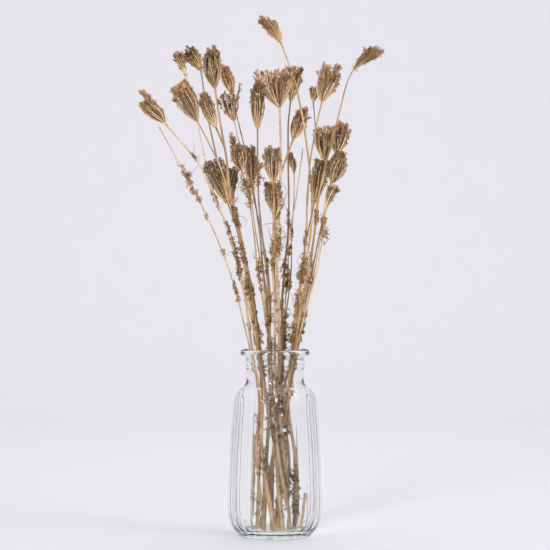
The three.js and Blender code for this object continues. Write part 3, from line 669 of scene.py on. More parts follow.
class Guides:
    """Lines of points with a girth, a place along the plant and a tone, and the points that bear a tuft."""

    def __init__(self):
        self.points, self.edges, self.facings, self.values = [], [], [], []

    def point(self, place, facing, **values):
        """Adds a point that faces some way and carries values."""
        self.points.append(tuple(place))
        self.facings.append(tuple(facing))
        self.values.append(values)

    def line(self, points, girths, along, tone):
        """Adds a line, each point of it joined to the one before."""
        for i, place in enumerate(points):
            self.point(place, UP, girth=girths[i], along=along[i], tone=tone, size=0, kind=0)
            if i:
                self.edges.append((len(self.points) - 2, len(self.points) - 1))

    def tuft(self, place, facing, size, tone, kind=0):
        """Adds a point that bears a tuft of some size and kind, turned some way."""
        self.point(place, facing, girth=0, along=0.6, tone=tone, size=size, kind=kind)

    def mesh(self, name):
        """The guides as a mesh of edges and loose points."""
        mesh = bpy.data.meshes.new(name)
        mesh.from_pydata(self.points, self.edges, [])
        for key in ("girth", "along", "tone", "size", "kind"):
            values = np.array([values[key] for values in self.values], np.float32)
            mesh.attributes.new(key, "FLOAT", "POINT").data.foreach_set("value", values)
        facings = np.array(self.facings, np.float32).ravel()
        mesh.attributes.new("facing", "FLOAT_VECTOR", "POINT").data.foreach_set("vector", facings)
        return mesh


def new_tree(name, sockets):
    """A Geometry Nodes tree with named inputs and one geometry output, and its inputs' sockets."""
    tree = bpy.data.node_groups.new(name, "GeometryNodeTree")
    tree.interface.new_socket("Geometry", in_out="INPUT", socket_type="NodeSocketGeometry")
    for label, kind, value in sockets:
        socket = tree.interface.new_socket(label, in_out="INPUT", socket_type=f"NodeSocket{kind}")
        if value is not None:
            socket.default_value = value
    tree.interface.new_socket("Geometry", in_out="OUTPUT", socket_type="NodeSocketGeometry")
    return tree, add(tree, "NodeGroupInput").outputs


def close_tree(tree, geometry, material):
    """Ends a tree: smooth faces, real geometry and its material."""
    real = add(tree, "GeometryNodeRealizeInstances", {0: geometry})
    smooth = add(tree, "GeometryNodeSetShadeSmooth", {0: real.outputs[0]})
    painted = add(tree, "GeometryNodeSetMaterial", {0: smooth.outputs[0], "Material": material})
    add(tree, "NodeGroupOutput", {0: painted.outputs[0]})
    return tree


def carried(tree, name, kind="FLOAT"):
    """A value that the guides' points carry, read in a tree."""
    return add(tree, "GeometryNodeInputNamedAttribute", {"Name": name}, data_type=kind).outputs[0]


def drawn(tree, low, high, seed):
    """A random number for each point."""
    return add(tree, "FunctionNodeRandomValue", {2: low, 3: high, "Seed": seed}).outputs[1]


def swept(tree, guides, section):
    """A section swept along each guide, as thick as the guide says and closed at both ends."""
    path = add(tree, "GeometryNodeMeshToCurve", {0: guides})
    return add(tree, "GeometryNodeCurveToMesh", {
        0: path.outputs[0], "Profile Curve": section.outputs[0], "Scale": carried(tree, "girth"),
        "Fill Caps": True}).outputs[0]


def stalk_tree():
    """Stalk along its path: a ribbed section swept along each guide."""
    tree, given = new_tree("Stalk along its path", [
        ("Ribs", "Int", 7), ("Rib depth", "Float", 0.1), ("Material", "Material", None)])
    groove = calculate(tree, "SUBTRACT", 1.0, given["Rib depth"])
    section = add(tree, "GeometryNodeCurveStar", {
        "Points": given["Ribs"], "Inner Radius": groove, "Outer Radius": 1.0})
    return close_tree(tree, swept(tree, given["Geometry"], section), given["Material"])


def tuft_tree():
    """Rays and tufts: thin tubes along the guides, and a tuft out of a collection, turned to face the
    guide's way and spun at random, on every point that has a size."""
    tree, given = new_tree("Rays and tufts", [
        ("Sides", "Int", 4), ("Tufts", "Collection", None), ("Uneven", "Float", 0.2), ("Seed", "Int", 1),
        ("Material", "Material", None)])
    seed = given["Seed"]
    section = add(tree, "GeometryNodeCurvePrimitiveCircle", {"Resolution": given["Sides"], "Radius": 1.0})
    rays = swept(tree, given["Geometry"], section)
    size = carried(tree, "size")
    bears = add(tree, "FunctionNodeCompare", {0: size, 1: 0.0001}, operation="GREATER_THAN")
    knots = add(tree, "GeometryNodeMeshToPoints", {0: given["Geometry"], "Selection": bears.outputs[0]})
    choice = add(tree, "GeometryNodeCollectionInfo", {
        0: given["Tufts"], "Separate Children": True, "Reset Children": True})
    first = calculate(tree, "MULTIPLY", carried(tree, "kind"), float(VARIANTS))
    pick = calculate(tree, "ADD", first, drawn(tree, 0.0, VARIANTS - 0.01, seed))
    least = calculate(tree, "SUBTRACT", 1.0, given["Uneven"])
    most = calculate(tree, "ADD", 1.0, given["Uneven"])
    upright = add(tree, "FunctionNodeAlignRotationToVector", {
        "Vector": carried(tree, "facing", "FLOAT_VECTOR")}, axis="Z")
    spin = add(tree, "FunctionNodeAxisAngleToRotation", {
        "Axis": (0.0, 0.0, 1.0), "Angle": drawn(tree, 0.0, math.tau, seed)})
    rotation = add(tree, "FunctionNodeRotateRotation", {
        0: upright.outputs[0], 1: spin.outputs[0]}, rotation_space="LOCAL")
    tufts = add(tree, "GeometryNodeInstanceOnPoints", {
        0: knots.outputs[0], "Instance": choice.outputs[0], "Pick Instance": True,
        "Instance Index": calculate(tree, "FLOOR", pick), "Rotation": rotation.outputs[0],
        "Scale": calculate(tree, "MULTIPLY", size, drawn(tree, least, most, seed))})
    whole = add(tree, "GeometryNodeJoinGeometry")
    tree.links.new(tufts.outputs[0], whole.inputs[0])
    tree.links.new(rays, whole.inputs[0])
    return close_tree(tree, whole.outputs[0], given["Material"])


def put_in_scene(name, data):
    """A new object in the scene."""
    made = bpy.data.objects.new(name, data)
    bpy.context.scene.collection.objects.link(made)
    return made


def grow(name, mesh, tree, **inputs):
    """Runs a tree on a mesh and returns the result as a plain object."""
    scaffold = put_in_scene(f"{name}_guide", mesh)
    modifier = scaffold.modifiers.new("grow", "NODES")
    modifier.node_group = tree
    sockets = {item.name: item.identifier for item in tree.interface.items_tree if item.in_out == "INPUT"}
    for label, value in inputs.items():
        modifier[sockets[label.replace("_", " ")]] = value
    bpy.context.view_layer.update()
    evaluated = scaffold.evaluated_get(bpy.context.evaluated_depsgraph_get())
    made = bpy.data.meshes.new_from_object(evaluated)
    made.name = name
    bpy.data.objects.remove(scaffold)
    if not made.polygons:
        raise RuntimeError(f"{name} has no faces")
    return put_in_scene(name, made)


def finish_piece(piece, slot, *nodes):
    """Ties a piece to the object, for the CAD nodes that it stands for."""
    if nodes:
        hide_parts(*nodes)
    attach(piece, "root")


# Small shapes


def bridge(mesh, low, high, count):
    """Adds the faces between two rings of a bmesh, either of which can be a single point."""
    for side in range(count):
        after = (side + 1) % count
        corners = [low[side % len(low)], low[after % len(low)], high[after % len(high)],
                   high[side % len(high)]]
        mesh.faces.new(list(dict.fromkeys(corners)))


def plain_mesh(name, mesh):
    """A bmesh as mesh data, with its faces turned outward."""
    bmesh.ops.recalc_face_normals(mesh, faces=mesh.faces)
    data = bpy.data.meshes.new(name)
    mesh.to_mesh(data)
    mesh.free()
    return data


def add_spindle(mesh, start, middle, end, girth, along):
    """Adds a thin three-sided spindle to a bmesh, with a value at its start, its middle and its end."""
    layer = mesh.verts.layers.float["along"]
    start, middle, end = Vector(start), Vector(middle), Vector(end)
    way = (end - start).normalized()
    across = Vector((1, 0.3, 0.2))
    across = (across - way * across.dot(way)).normalized()
    beside = way.cross(across)
    turns = [math.tau * side / 3 for side in range(3)]
    belt = [middle + (across * math.cos(turn) + beside * math.sin(turn)) * girth for turn in turns]
    rings = [[mesh.verts.new(point) for point in ring] for ring in ([start], belt, [end])]
    for ring, value in zip(rings, along):
        for vertex in ring:
            vertex[layer] = value
    bridge(mesh, rings[0], rings[1], 3)
    bridge(mesh, rings[1], rings[2], 3)


def nudge(chance, most):
    """A small step in any direction, for a bmesh."""
    return Vector([chance.uniform(-most, most) for _ in range(3)])


def patterns(name, *builders):
    """A hidden collection with a few variants of each small shape, for the trees to pick from."""
    shelf = bpy.data.collections.new(name)
    for variant in range(VARIANTS * len(builders)):
        mesh = bmesh.new()
        mesh.verts.layers.float.new("along")
        builders[variant // VARIANTS](mesh, random.Random(100 + variant))
        label = f"{name}_{variant}"
        shelf.objects.link(bpy.data.objects.new(label, plain_mesh(label, mesh)))
    return shelf


def leaning(out, lean):
    """The way that leans outward from straight up by an angle."""
    return out * math.sin(lean) + Vector((0, 0, math.cos(lean)))


def build_umbellet(mesh, chance):
    """An umbellet one unit long: bent pedicels in a loose brush, each with a seed, and two bractlets."""
    pedicels = 9
    for i in range(pedicels):
        turn = i * GOLDEN_ANGLE + chance.uniform(-0.3, 0.3)
        lean = 0.05 + 0.38 * math.sqrt((i + 0.5) / pedicels) + chance.uniform(-0.06, 0.06)
        length = chance.uniform(0.4, 0.82)
        out = Vector((math.cos(turn), math.sin(turn), 0))
        bent = lean * (1 + chance.uniform(-0.9, 0.8))
        middle = leaning(out, lean) * length * 0.5
        end = middle + leaning(out, bent) * length * 0.5
        add_spindle(mesh, (0, 0, 0), middle, end, 0.045, (0.6, 0.7, 0.8))
        way = (end - middle).normalized() + nudge(chance, 0.45)
        seed = chance.uniform(0.2, 0.3)
        start = end - way * 0.06
        add_spindle(mesh, start, start + way * seed * 0.45, start + way * seed, 0.085, (0.86, 1.0, 0.9))
    for i in range(2):
        turn = math.tau * i / 2 + chance.uniform(-0.4, 0.4)
        out = Vector((math.cos(turn), math.sin(turn), 0)) * 0.26
        middle = out + Vector((0, 0, 0.08))
        add_spindle(mesh, (0, 0, 0), middle, out * 0.8 + Vector((0, 0, 0.3)), 0.03, (0.6, 0.7, 0.8))


def build_seed_spray(mesh, chance):
    """A spray of five bristly seeds one unit across, as stray seeds cling to a ray."""
    for i in range(5):
        turn = i * GOLDEN_ANGLE * 1.7 + chance.uniform(-0.5, 0.5)
        lean = chance.uniform(0.2, 1.5)
        way = Vector((math.cos(turn) * math.sin(lean), math.sin(turn) * math.sin(lean), math.cos(lean)))
        start = way * chance.uniform(0.0, 0.15) + Vector((0, 0, chance.uniform(-0.2, 0.2)))
        end = start + way * chance.uniform(0.5, 1.0)
        middle = (start + end) / 2 + Vector((0, 0, 0.06))
        add_spindle(mesh, start, middle, end, 0.13, (0.7, 0.95, 0.85))


def build_leaflet(mesh, chance):
    """A dry leaflet one unit long: a narrow blade, curled along its rib, with two crumpled side lobes."""
    layer = mesh.verts.layers.float["along"]
    steps = 3
    curl = chance.uniform(1.0, 3.4)
    rows = []
    for i in range(steps + 1):
        share = i / steps
        angle = curl * share
        spine = Vector((0, math.sin(angle) / curl, (1 - math.cos(angle)) / curl))
        spine += nudge(chance, 0.06)
        lift = Vector((0, -math.sin(angle), math.cos(angle)))
        width = 0.21 * math.sin(math.pi * (0.12 + 0.8 * share)) * chance.uniform(0.6, 1.4)
        turn = chance.uniform(0.2, 1.5)
        sides = [spine + Vector((sign * width * math.cos(turn), 0, 0)) + lift * width * math.sin(turn)
                 for sign in (1, -1)]
        rows.append([mesh.verts.new(point) for point in (sides[0], spine, sides[1])])
    for vertex in mesh.verts:
        vertex[layer] = 0.5
    for low, high in zip(rows, rows[1:]):
        bridge(mesh, low, high, 3)
    mesh.faces.new(rows[0][::-1])
    mesh.faces.new(rows[-1])
    root = rows[1][1].co.copy()
    for sign in (1, -1):
        out = Vector((sign, chance.uniform(-0.2, 0.9), chance.uniform(-0.6, 0.6))).normalized() * 0.32
        bent = nudge(chance, 0.3)
        add_spindle(mesh, root, root + out, root + out * 1.5 + bent, 0.11, (0.5, 0.5, 0.5))


# Stalks and leaves


def smooth_line(points, girths, step):
    """A line with even, smoothly bending steps through measured points."""
    travelled = np.concatenate([[0], np.cumsum(np.linalg.norm(np.diff(points, axis=0), axis=1))])
    count = max(4, round(travelled[-1] / step))
    places = np.linspace(0, travelled[-1], count + 1)
    line = np.stack([np.interp(places, travelled, points[:, axis]) for axis in range(3)], 1)
    for _ in range(3):
        line[1:-1] = line[1:-1] / 2 + (line[:-2] + line[2:]) / 4
    return line, np.interp(places, travelled, girths), places


def grow_stalk(guides, limb, chance, tone):
    """Adds a stalk or a branch to the guides: a smooth line with knots and a little unevenness."""
    settings = bpy.context.scene.wild_carrot_stalks
    line, girths, places = smooth_line(limb.points, limb.girths, 5 * MM)
    swell = np.ones(len(line))
    knot = chance.uniform(0.3, 1.0) * settings.knot_spacing
    while knot < places[-1] - 20 * MM:
        swell += settings.knot_swelling * np.exp(-((places - knot) / (4 * MM)) ** 2)
        knot += settings.knot_spacing * chance.uniform(0.7, 1.4)
    for i, point in enumerate(line):
        swell[i] *= 1 + 0.1 * noise.noise(Vector(point) * 60)
    swell[-3:] *= [1.05, 1.2, 1.35]
    swell *= np.linspace(0.97, 0.87, len(line))
    guides.line(line, girths * swell, np.linspace(0, 1, len(line)), tone)


def bearer_of_clump(x, height):
    """The stem node and the limb that a clump of leaf hangs on: the one that is seen nearest to it."""
    distance = bpy.context.scene.wild_carrot_stage.camera_distance
    nearest = None
    for name, limbs in bunch["limbs"].items():
        for limb in limbs.values():
            if limb.points[0][2] < height < limb.points[-1][2] - 8 * MM:
                place = limb.at_height(height)
                scale = distance / (distance + place[1])
                miss = abs(place[0] * scale - x) + 0.05 * place[1]
                if nearest is None or miss < nearest[0]:
                    nearest = (miss, name, limb)
    return nearest[1], nearest[2]


def sheaths_of(limb, chance):
    """Small clumps of leaf on a limb, at uneven distances from its foot up to its bare top."""
    settings = bpy.context.scene.wild_carrot_leaves
    height = limb.points[0][2] + chance.uniform(8, 40) * MM
    while height < min(limb.points[-1][2] - 55 * MM, settings.leafy_top):
        rust = chance.choice((0.1, 0.25, 0.35, 0.5, 0.7))
        yield height / MM, chance.uniform(3, 7), chance.uniform(1.6, 3.8), rust
        height += settings.sheath_spacing * chance.uniform(0.45, 1.6)


def any_side(chance):
    """A level way, picked at random."""
    turn = chance.uniform(0, math.tau)
    return np.array([math.cos(turn), math.sin(turn), 0])


def scatter(chance, spread):
    """A random way, the longer the wider the spread."""
    return np.array([chance.gauss(0, spread) for _ in range(3)])


def varied(share, spread, chance):
    """A share that strays a little from another."""
    return min(1, max(0, share + chance.gauss(0, spread)))


def point_on(line, spot):
    """The point of a line at a spot that is counted in steps from its start."""
    index = min(int(spot), len(line) - 2)
    return line[index] + (line[index + 1] - line[index]) * (spot - index)


def grow_clump(guides, limb, clump, chance):
    """Adds one clump of dry leaf: a torn sheath that clasps the stalk, crumpled ribs that curl away from
    it, and a bare tendril where no glass is in the way."""
    height, half, reach, rust = clump
    levels = np.linspace(height - half * 1.3, height + half, 7) * MM
    beside = any_side(chance)
    out = np.linspace(0.5, 1.3, 7) ** 2 * limb.nearest(limb.at_height(height * MM))[1]
    sheath = [limb.at_height(level) + beside * out[i] for i, level in enumerate(levels)]
    girths = np.array([0.3, 0.7, 0.9, 0.9, 0.8, 0.6, 0.3]) * chance.uniform(0.7, 1.2) * MM
    guides.line(sheath, girths, np.full(7, 0.4), varied(rust, 0.2, chance))
    ribs = max(2, round(half * reach / 7))
    pressed = height * MM < bpy.context.scene.wild_carrot_leaves.pressed_below
    for rib in range(ribs + 1):
        root = limb.at_height((height + half * (2 * (rib + chance.random()) / ribs - 1)) * MM)
        grow_rib(guides, root, reach, rust, pressed, rib == ribs and not pressed, chance)


def grow_rib(guides, root, reach, rust, pressed, tendril, chance):
    """Adds one curled rib with leaflets all along it, or a longer tendril with just two near its root."""
    settings = bpy.context.scene.wild_carrot_leaves
    steps = 9
    side = any_side(chance)
    rise = chance.uniform(0.7, 1.5) if pressed else chance.uniform(-0.5, 0.9)
    curl = chance.uniform(2.2, 5.0) * chance.choice((-1, 1)) * (0.7 if tendril or pressed else 1)
    length = reach * MM * (chance.uniform(2.2, 4.0) if tendril else chance.uniform(0.8, 1.7))
    tone = varied(rust, 0.12, chance)
    line = [root]
    for step in range(steps):
        bend = rise + curl * step / steps
        line.append(line[-1] + (side * math.cos(bend) + UP * math.sin(bend)) * length / steps)
    guides.line(line, np.linspace(0.45, 0.2, steps + 1) * MM, np.full(steps + 1, 0.4), tone)
    for leaflet in range(2 if tendril else settings.leaflets):
        place = point_on(line, steps * (leaflet + chance.random()) / settings.leaflets)
        facing = scatter(chance, 1)
        size = settings.leaflet_length * chance.uniform(0.55, 1.2)
        guides.tuft(place + facing * 0.5 * MM, facing, size, varied(tone, 0.26, chance))


# Scraps in the vase


def lay_loose_end(guides):
    """Adds the loose stalk end to the guides: a straight line through its solid."""
    corners = solid_of("loose_stalk_end")[0]
    upper = corners[:, 2] > corners[:, 2].mean()
    steps = 14
    line = np.linspace(corners[~upper].mean(0), corners[upper].mean(0), steps)
    guides.line(line, np.linspace(1.8, 1.45, steps) * MM, np.linspace(0, 1, steps), 0.6)


def strew_crumbs(guides, chance):
    """Adds crumbs of leaf to the guides, strewn over the vase's floor."""
    crumbs = 34
    for _ in range(crumbs):
        place = (chance.gauss(18, 9) * MM, chance.gauss(-8, 12) * MM, FLOOR_INSIDE + 1.3 * MM)
        facing = (chance.gauss(0, 1), chance.gauss(0, 1), chance.uniform(-0.2, 0.3))
        end = np.add(place, np.array(facing) * 1.2 * MM)
        guides.line([place, end], [0.3 * MM, 0.2 * MM], [0.4, 0.5], 0.4)
        guides.tuft(place, facing, chance.uniform(1.6, 3.2) * MM, chance.random())


# Umbels


def grow_umbel(guides, form, look, chance):
    """Adds an umbel to the guides: shells of rays, seed sprays between them, and bracts at the base."""
    settings = bpy.context.scene.wild_carrot_umbels
    around = math.tau * form.widest / settings.ray_spacing * (1 - look.airy)
    tuft = min(settings.umbellet_length, form.length * 0.19)
    for share, right, up, width in look.bundles:
        shift = np.array([right, 0, up]) * MM
        # The inner shells' dark tone ranges are partly the seeds' brown and partly painted shade inside the
        # umbel
        for reach, portion, tones_and_painted_shade in SHELLS:
            count = max(2, round(around * portion * max(share, width ** 1.3)))
            for ray in range(count):
                angle = math.tau * (ray + chance.uniform(-0.35, 0.35)) / count
                out = reach * width * chance.uniform(0.9, 1.04)
                tone = chance.uniform(*tones_and_painted_shade) if chance.random() < 0.7 else chance.uniform(0, tones_and_painted_shade[0])
                grow_ray(guides, form, look, (angle, out, shift), tone, tuft, chance)
        # Seed sprays inside the umbel, dark in tone: partly the seeds' own brown, partly painted shade in
        # its hollow
        for _ in range(round(around * share * 1.6)):
            along = chance.uniform(0.3, 0.85 - 0.4 * look.airy)
            out = form.reach(along) * width * chance.uniform(0.1, 0.8)
            place = form.place(along, chance.uniform(0, math.tau), out) + shift * along ** 1.3
            facing = form.middle(1.0) + shift - form.base + scatter(chance, 0.4) * form.length
            guides.tuft(place, facing, tuft * chance.uniform(0.6, 0.95), chance.uniform(0, 0.4), kind=1)
    bracts = 8 if form.widest > 5 * MM else 0
    for bract in range(bracts):
        grow_bract(guides, form, bract * math.tau / bracts + chance.uniform(-0.3, 0.3), chance)


def grow_ray(guides, form, look, course, tone, tuft, chance):
    """Adds one ray to the guides, with an umbellet at its end and, on a light ray, seed sprays along it."""
    settings = bpy.context.scene.wild_carrot_umbels
    angle, width, shift = course
    end = chance.uniform(0.78, 0.9)
    if chance.random() < 0.25 + 0.3 * look.ragged:
        end = chance.uniform(0.55, 0.8)
    end += chance.uniform(-0.06, 0.1) * look.ragged
    twist = look.twist * chance.uniform(-1, 1)
    drift = Vector([chance.uniform(0, 90) for _ in range(3)])
    shares = np.linspace(0, 1, 10)
    line = []
    for share in shares:
        along = share * end
        out = form.reach(min(1, along)) * width
        point = form.place(along, angle + twist * share, out) + shift * along ** 1.3
        sway = np.array(noise.noise_vector(drift + Vector((share * 2.5, 0, 0))))
        line.append(point + sway * settings.wobble * (1 + look.ragged) * share)
    girths = settings.ray_girth * np.interp(shares, [0, 0.25, 0.9, 1], [0.8, 1, 0.7, 0.8])
    guides.line(line, girths * (0.6 + 0.4 * width), shares * 0.62, tone)
    outward = line[-1] - form.middle(min(1, end)) - shift * end ** 1.3
    outward /= np.linalg.norm(outward) + 1e-9
    facing = unit(line[-1] - line[-3])
    facing += outward * (0.1 + 0.5 * look.ragged) * chance.uniform(0.0, 1.2)
    facing += scatter(chance, 0.16)
    guides.tuft(line[-1], facing, tuft * chance.uniform(0.8, 1.2), chance.choice((0.15, 0.5, 0.75, 1.0)))
    sprays = 5 if tone > 0.45 else 0
    for _ in range(sprays):
        place = point_on(line, 1 + 8 * math.sqrt(chance.uniform(0.14, 1)))
        lean = facing + outward * chance.uniform(0.2, 1.2)
        guides.tuft(place, lean, tuft * chance.uniform(0.3, 0.6), chance.uniform(0.1, 1), kind=1)


def grow_bract(guides, form, angle, chance):
    """Adds one bract: a thread that leaves the umbel's base and curls, with two finer side threads."""
    reach = chance.uniform(0.35, 0.9) * min(9 * MM, max(form.radii))
    curl = chance.uniform(0.6, 2.6)
    out = form.outward(angle)
    way = unit(form.middle(0.3) - form.base)
    line = []
    for share in np.linspace(0, 1, 9):
        turn = curl * share * share
        line.append(form.base + way * 0.8 * MM + out * reach * share
                    + (way * math.sin(turn) - out * (1 - math.cos(turn)) * 0.6) * reach * 0.55)
    tone = chance.uniform(0.1, 0.7)
    guides.line(line, np.linspace(0.42, 0.12, 9) * MM, np.full(9, 0.55), tone)
    for root in (3, 5):
        side = np.cross(way, out) * chance.choice((-1, 1))
        fork = [line[root] + (side * 0.7 + out * 0.5 + way * 0.3 * share) * reach * 0.35 * share
                for share in np.linspace(0, 1, 5)]
        guides.line(fork, np.linspace(0.26, 0.1, 5) * MM, np.full(5, 0.6), tone)


# The vase


def rounded_profile(outline, step):
    """Evenly spaced points of a smooth curve through an outline."""
    points = np.array(outline, float) * MM
    padded = np.vstack([2 * points[0] - points[1], points, 2 * points[-1] - points[-2]])
    curve = []
    for i in range(1, len(padded) - 2):
        before, start, end, after = padded[i - 1:i + 3]
        count = max(2, math.ceil(np.linalg.norm(end - start) / step))
        for share in np.arange(count) / count:
            curve.append(0.5 * (2 * start + (end - before) * share
                                + (2 * before - 5 * start + 4 * end - after) * share ** 2
                                + (3 * start - before - 3 * end + after) * share ** 3))
    return np.vstack([curve, points[-1]])


def fluted_turns(flutes):
    """The angles of a fluted wall's columns, which stand closer together at the valleys."""
    even = np.arange(flutes * COLUMNS_PER_FLUTE) / COLUMNS_PER_FLUTE
    return [math.tau * (place - 0.1 * math.sin(math.tau * place)) / flutes for place in even]


def turned_wall(name, profile, outer_count, column_turns):
    """A wall turned from a profile of radii and heights, and closed where the profile meets the axis. Its
    first rings are marked as outer ones, for the flutes."""
    mesh = bmesh.new()
    layer = mesh.verts.layers.float.new("outer")
    rings = []
    for row, (radius, height) in enumerate(profile):
        turns = column_turns if radius else [0.0]
        ring = [mesh.verts.new((radius * math.cos(turn), radius * math.sin(turn), height))
                for turn in turns]
        for vertex in ring:
            vertex[layer] = 1.0 if row < outer_count else INSIDE_FLUTES
        rings.append(ring)
    for low, high in zip(rings, rings[1:]):
        bridge(mesh, low, high, len(column_turns))
    return plain_mesh(name, mesh)


def flute_tree():
    """Flutes: presses narrow valleys into a turned wall, fading out at the bottom and the top."""
    tree, given = new_tree("Flutes", [
        ("Flutes", "Int", 24), ("Depth", "Float", 0.001), ("Bottom", "Float", 0.0), ("Top", "Float", 0.17),
        ("Material", "Material", None)])
    bottom, top = given["Bottom"], given["Top"]
    place = add(tree, "GeometryNodeInputPosition").outputs[0]
    x, y, height = add(tree, "ShaderNodeSeparateXYZ", {0: place}).outputs
    half = calculate(tree, "MULTIPLY", given["Flutes"], 0.5)
    wave = calculate(tree, "SINE", calculate(tree, "MULTIPLY", calculate(tree, "ARCTAN2", y, x), half))
    rounded = calculate(tree, "ADD", calculate(tree, "POWER", wave, 2.0), 0.006)
    valley = calculate(tree, "SUBTRACT", 1.0, calculate(tree, "SQRT", rounded))
    rise = map_range(tree, height, bottom, calculate(tree, "ADD", bottom, 14 * MM),
                     interpolation_type="SMOOTHSTEP")
    fall = map_range(tree, height, calculate(tree, "SUBTRACT", top, 16 * MM), top, 1.0, 0.0,
                     interpolation_type="SMOOTHSTEP")
    push = calculate(tree, "MULTIPLY", valley, given["Depth"])
    for factor in (rise, fall, carried(tree, "outer")):
        push = calculate(tree, "MULTIPLY", push, factor)
    level = add(tree, "ShaderNodeCombineXYZ", {0: x, 1: y})
    out = add(tree, "ShaderNodeVectorMath", {0: level.outputs[0]}, operation="NORMALIZE")
    inward = add(tree, "ShaderNodeVectorMath", {
        0: out.outputs[0], "Scale": calculate(tree, "MULTIPLY", push, -1.0)}, operation="SCALE")
    pressed = add(tree, "GeometryNodeSetPosition", {0: given["Geometry"], "Offset": inward.outputs[0]})
    return close_tree(tree, pressed.outputs[0], given["Material"])


# The stage


def paper_sweep(material):
    """Paper that lies on the floor and bends up into a round wall, far enough around the vase to look the
    same from all sides."""
    arc = [(PAPER_RADIUS - PAPER_BEND + PAPER_BEND * math.sin(turn), PAPER_BEND * (1 - math.cos(turn)))
           for turn in np.linspace(0, math.pi / 2, 17)]
    profile = [(0, 0), (0.5, 0), (1.1, 0), *arc, (PAPER_RADIUS, PAPER_HEIGHT)]
    data = turned_wall("paper", profile, 0, np.linspace(0, math.tau, 96, endpoint=False))
    data.polygons.foreach_set("use_smooth", [True] * len(data.polygons))
    data.materials.append(material)
    sheet = put_in_scene("paper", data)


def softbox(name, place, target, width, height, power):
    """A large, soft lamp that points at a target."""
    data = bpy.data.lights.new(name, "AREA")
    data.shape = "RECTANGLE"
    data.size = width
    data.size_y = height
    data.energy = power
    lamp = put_in_scene(name, data)
    lamp.location = place
    lamp.visible_camera = False
    lamp.rotation_euler = (Vector(target) - Vector(place)).to_track_quat("-Z", "Y").to_euler()


def studio_sky(strength):
    """Even light from all around."""
    world = bpy.data.worlds.new("studio")
    world.use_nodes = True
    background = world.node_tree.nodes["Background"]
    background.inputs[0].default_value = (*linear(SKY_COLOUR), 1)
    background.inputs[1].default_value = strength
    bpy.context.scene.world = world


def front_camera(settings):
    """The camera in front of the vase, level and upright."""
    data = bpy.data.cameras.new("camera")
    data.angle = settings.view_angle
    camera = put_in_scene("camera", data)
    camera.location = (0, -settings.camera_distance, settings.camera_height)
    camera.rotation_euler = (math.pi / 2, 0, 0)
    bpy.context.scene.camera = camera


# The steps, each with a button in the panel


class WILDCARROT_OT_stage(Operator):
    """Makes the paper, the lamps and the camera"""
    bl_idname = "wild_carrot.stage"
    bl_label = "Stage"

    def execute(self, context):
        settings = context.scene.wild_carrot_stage
        paper_sweep(matt_paper())
        for name, (place, target, width, height, power) in LAMPS.items():
            softbox(name, place, target, width, height, power * settings.brightness)
        studio_sky(SKY_STRENGTH * settings.brightness)
        front_camera(settings)
        context.scene.view_settings.view_transform = "Standard"
        return {"FINISHED"}


class WILDCARROT_OT_vase(Operator):
    """Makes the fluted glass vase"""
    bl_idname = "wild_carrot.vase"
    bl_label = "Glass vase"

    def execute(self, context):
        settings = context.scene.wild_carrot_vase
        outside = rounded_profile(VASE_OUTSIDE + VASE_INSIDE[:1], WALL_STEP)
        inside = rounded_profile(VASE_INSIDE, WALL_STEP)[1:]
        profile = np.vstack([outside, inside])
        profile[[0, -1], 0] = 0
        wall = turned_wall("vase_wall", profile, len(outside), fluted_turns(settings.flutes))
        piece = grow("glass_vase", wall, flute_tree(), Flutes=settings.flutes, Depth=settings.flute_depth,
                     Bottom=settings.flute_bottom, Top=settings.flute_top,
                     Material=pressed_soda_lime_glass())
        finish_piece(piece, "clear_glass", "vase")
        return {"FINISHED"}


class WILDCARROT_OT_stalks(Operator):
    """Makes the ribbed stalks with their twigs"""
    bl_idname = "wild_carrot.stalks"
    bl_label = "Stalks"

    def execute(self, context):
        settings = context.scene.wild_carrot_stalks
        bunch.update(limbs=measure_bunch(), tree=tuft_tree())
        tree = stalk_tree()
        straw = dried_straw_stalk()
        for name, limbs in bunch["limbs"].items():
            chance = random.Random(name)
            guides = Guides()
            for umbel, limb in limbs.items():
                finish = UMBEL_LOOKS[umbel].finish if umbel in UMBEL_LOOKS else "golden"
                grow_stalk(guides, limb, chance, STALK_TONES[finish] + chance.uniform(-0.3, 0.3))
            piece = grow(name.replace("stem", "stalk"), guides.mesh(name), tree, Ribs=settings.ribs,
                         Rib_depth=settings.rib_depth, Material=straw)
            finish_piece(piece, "dried_stalk", name)
        return {"FINISHED"}


class WILDCARROT_OT_leaves(Operator):
    """Makes the sprays of dry, curled leaves"""
    bl_idname = "wild_carrot.leaves"
    bl_label = "Leaves"

    def execute(self, context):
        leaflets = patterns("leaflet", build_leaflet)
        leaf = dried_leaf()
        hung = {}
        for x, *clump in CLUMPS:
            name, limb = bearer_of_clump(x * MM, clump[0] * MM)
            hung.setdefault(name, []).append((limb, clump))
        for name, limbs in sorted(bunch["limbs"].items()):
            chance = random.Random(name)
            guides = Guides()
            small = [(limb, clump) for limb in limbs.values() for clump in sheaths_of(limb, chance)]
            for limb, clump in hung.get(name, []) + small:
                grow_clump(guides, limb, clump, chance)
            piece = grow(name.replace("stem", "leaves"), guides.mesh(name), bunch["tree"], Sides=3,
                         Tufts=leaflets, Uneven=0.3, Seed=3, Material=leaf)
            finish_piece(piece, "dried_stalk", name)
        bunch.update(leaflets=leaflets, leaf=leaf)
        return {"FINISHED"}


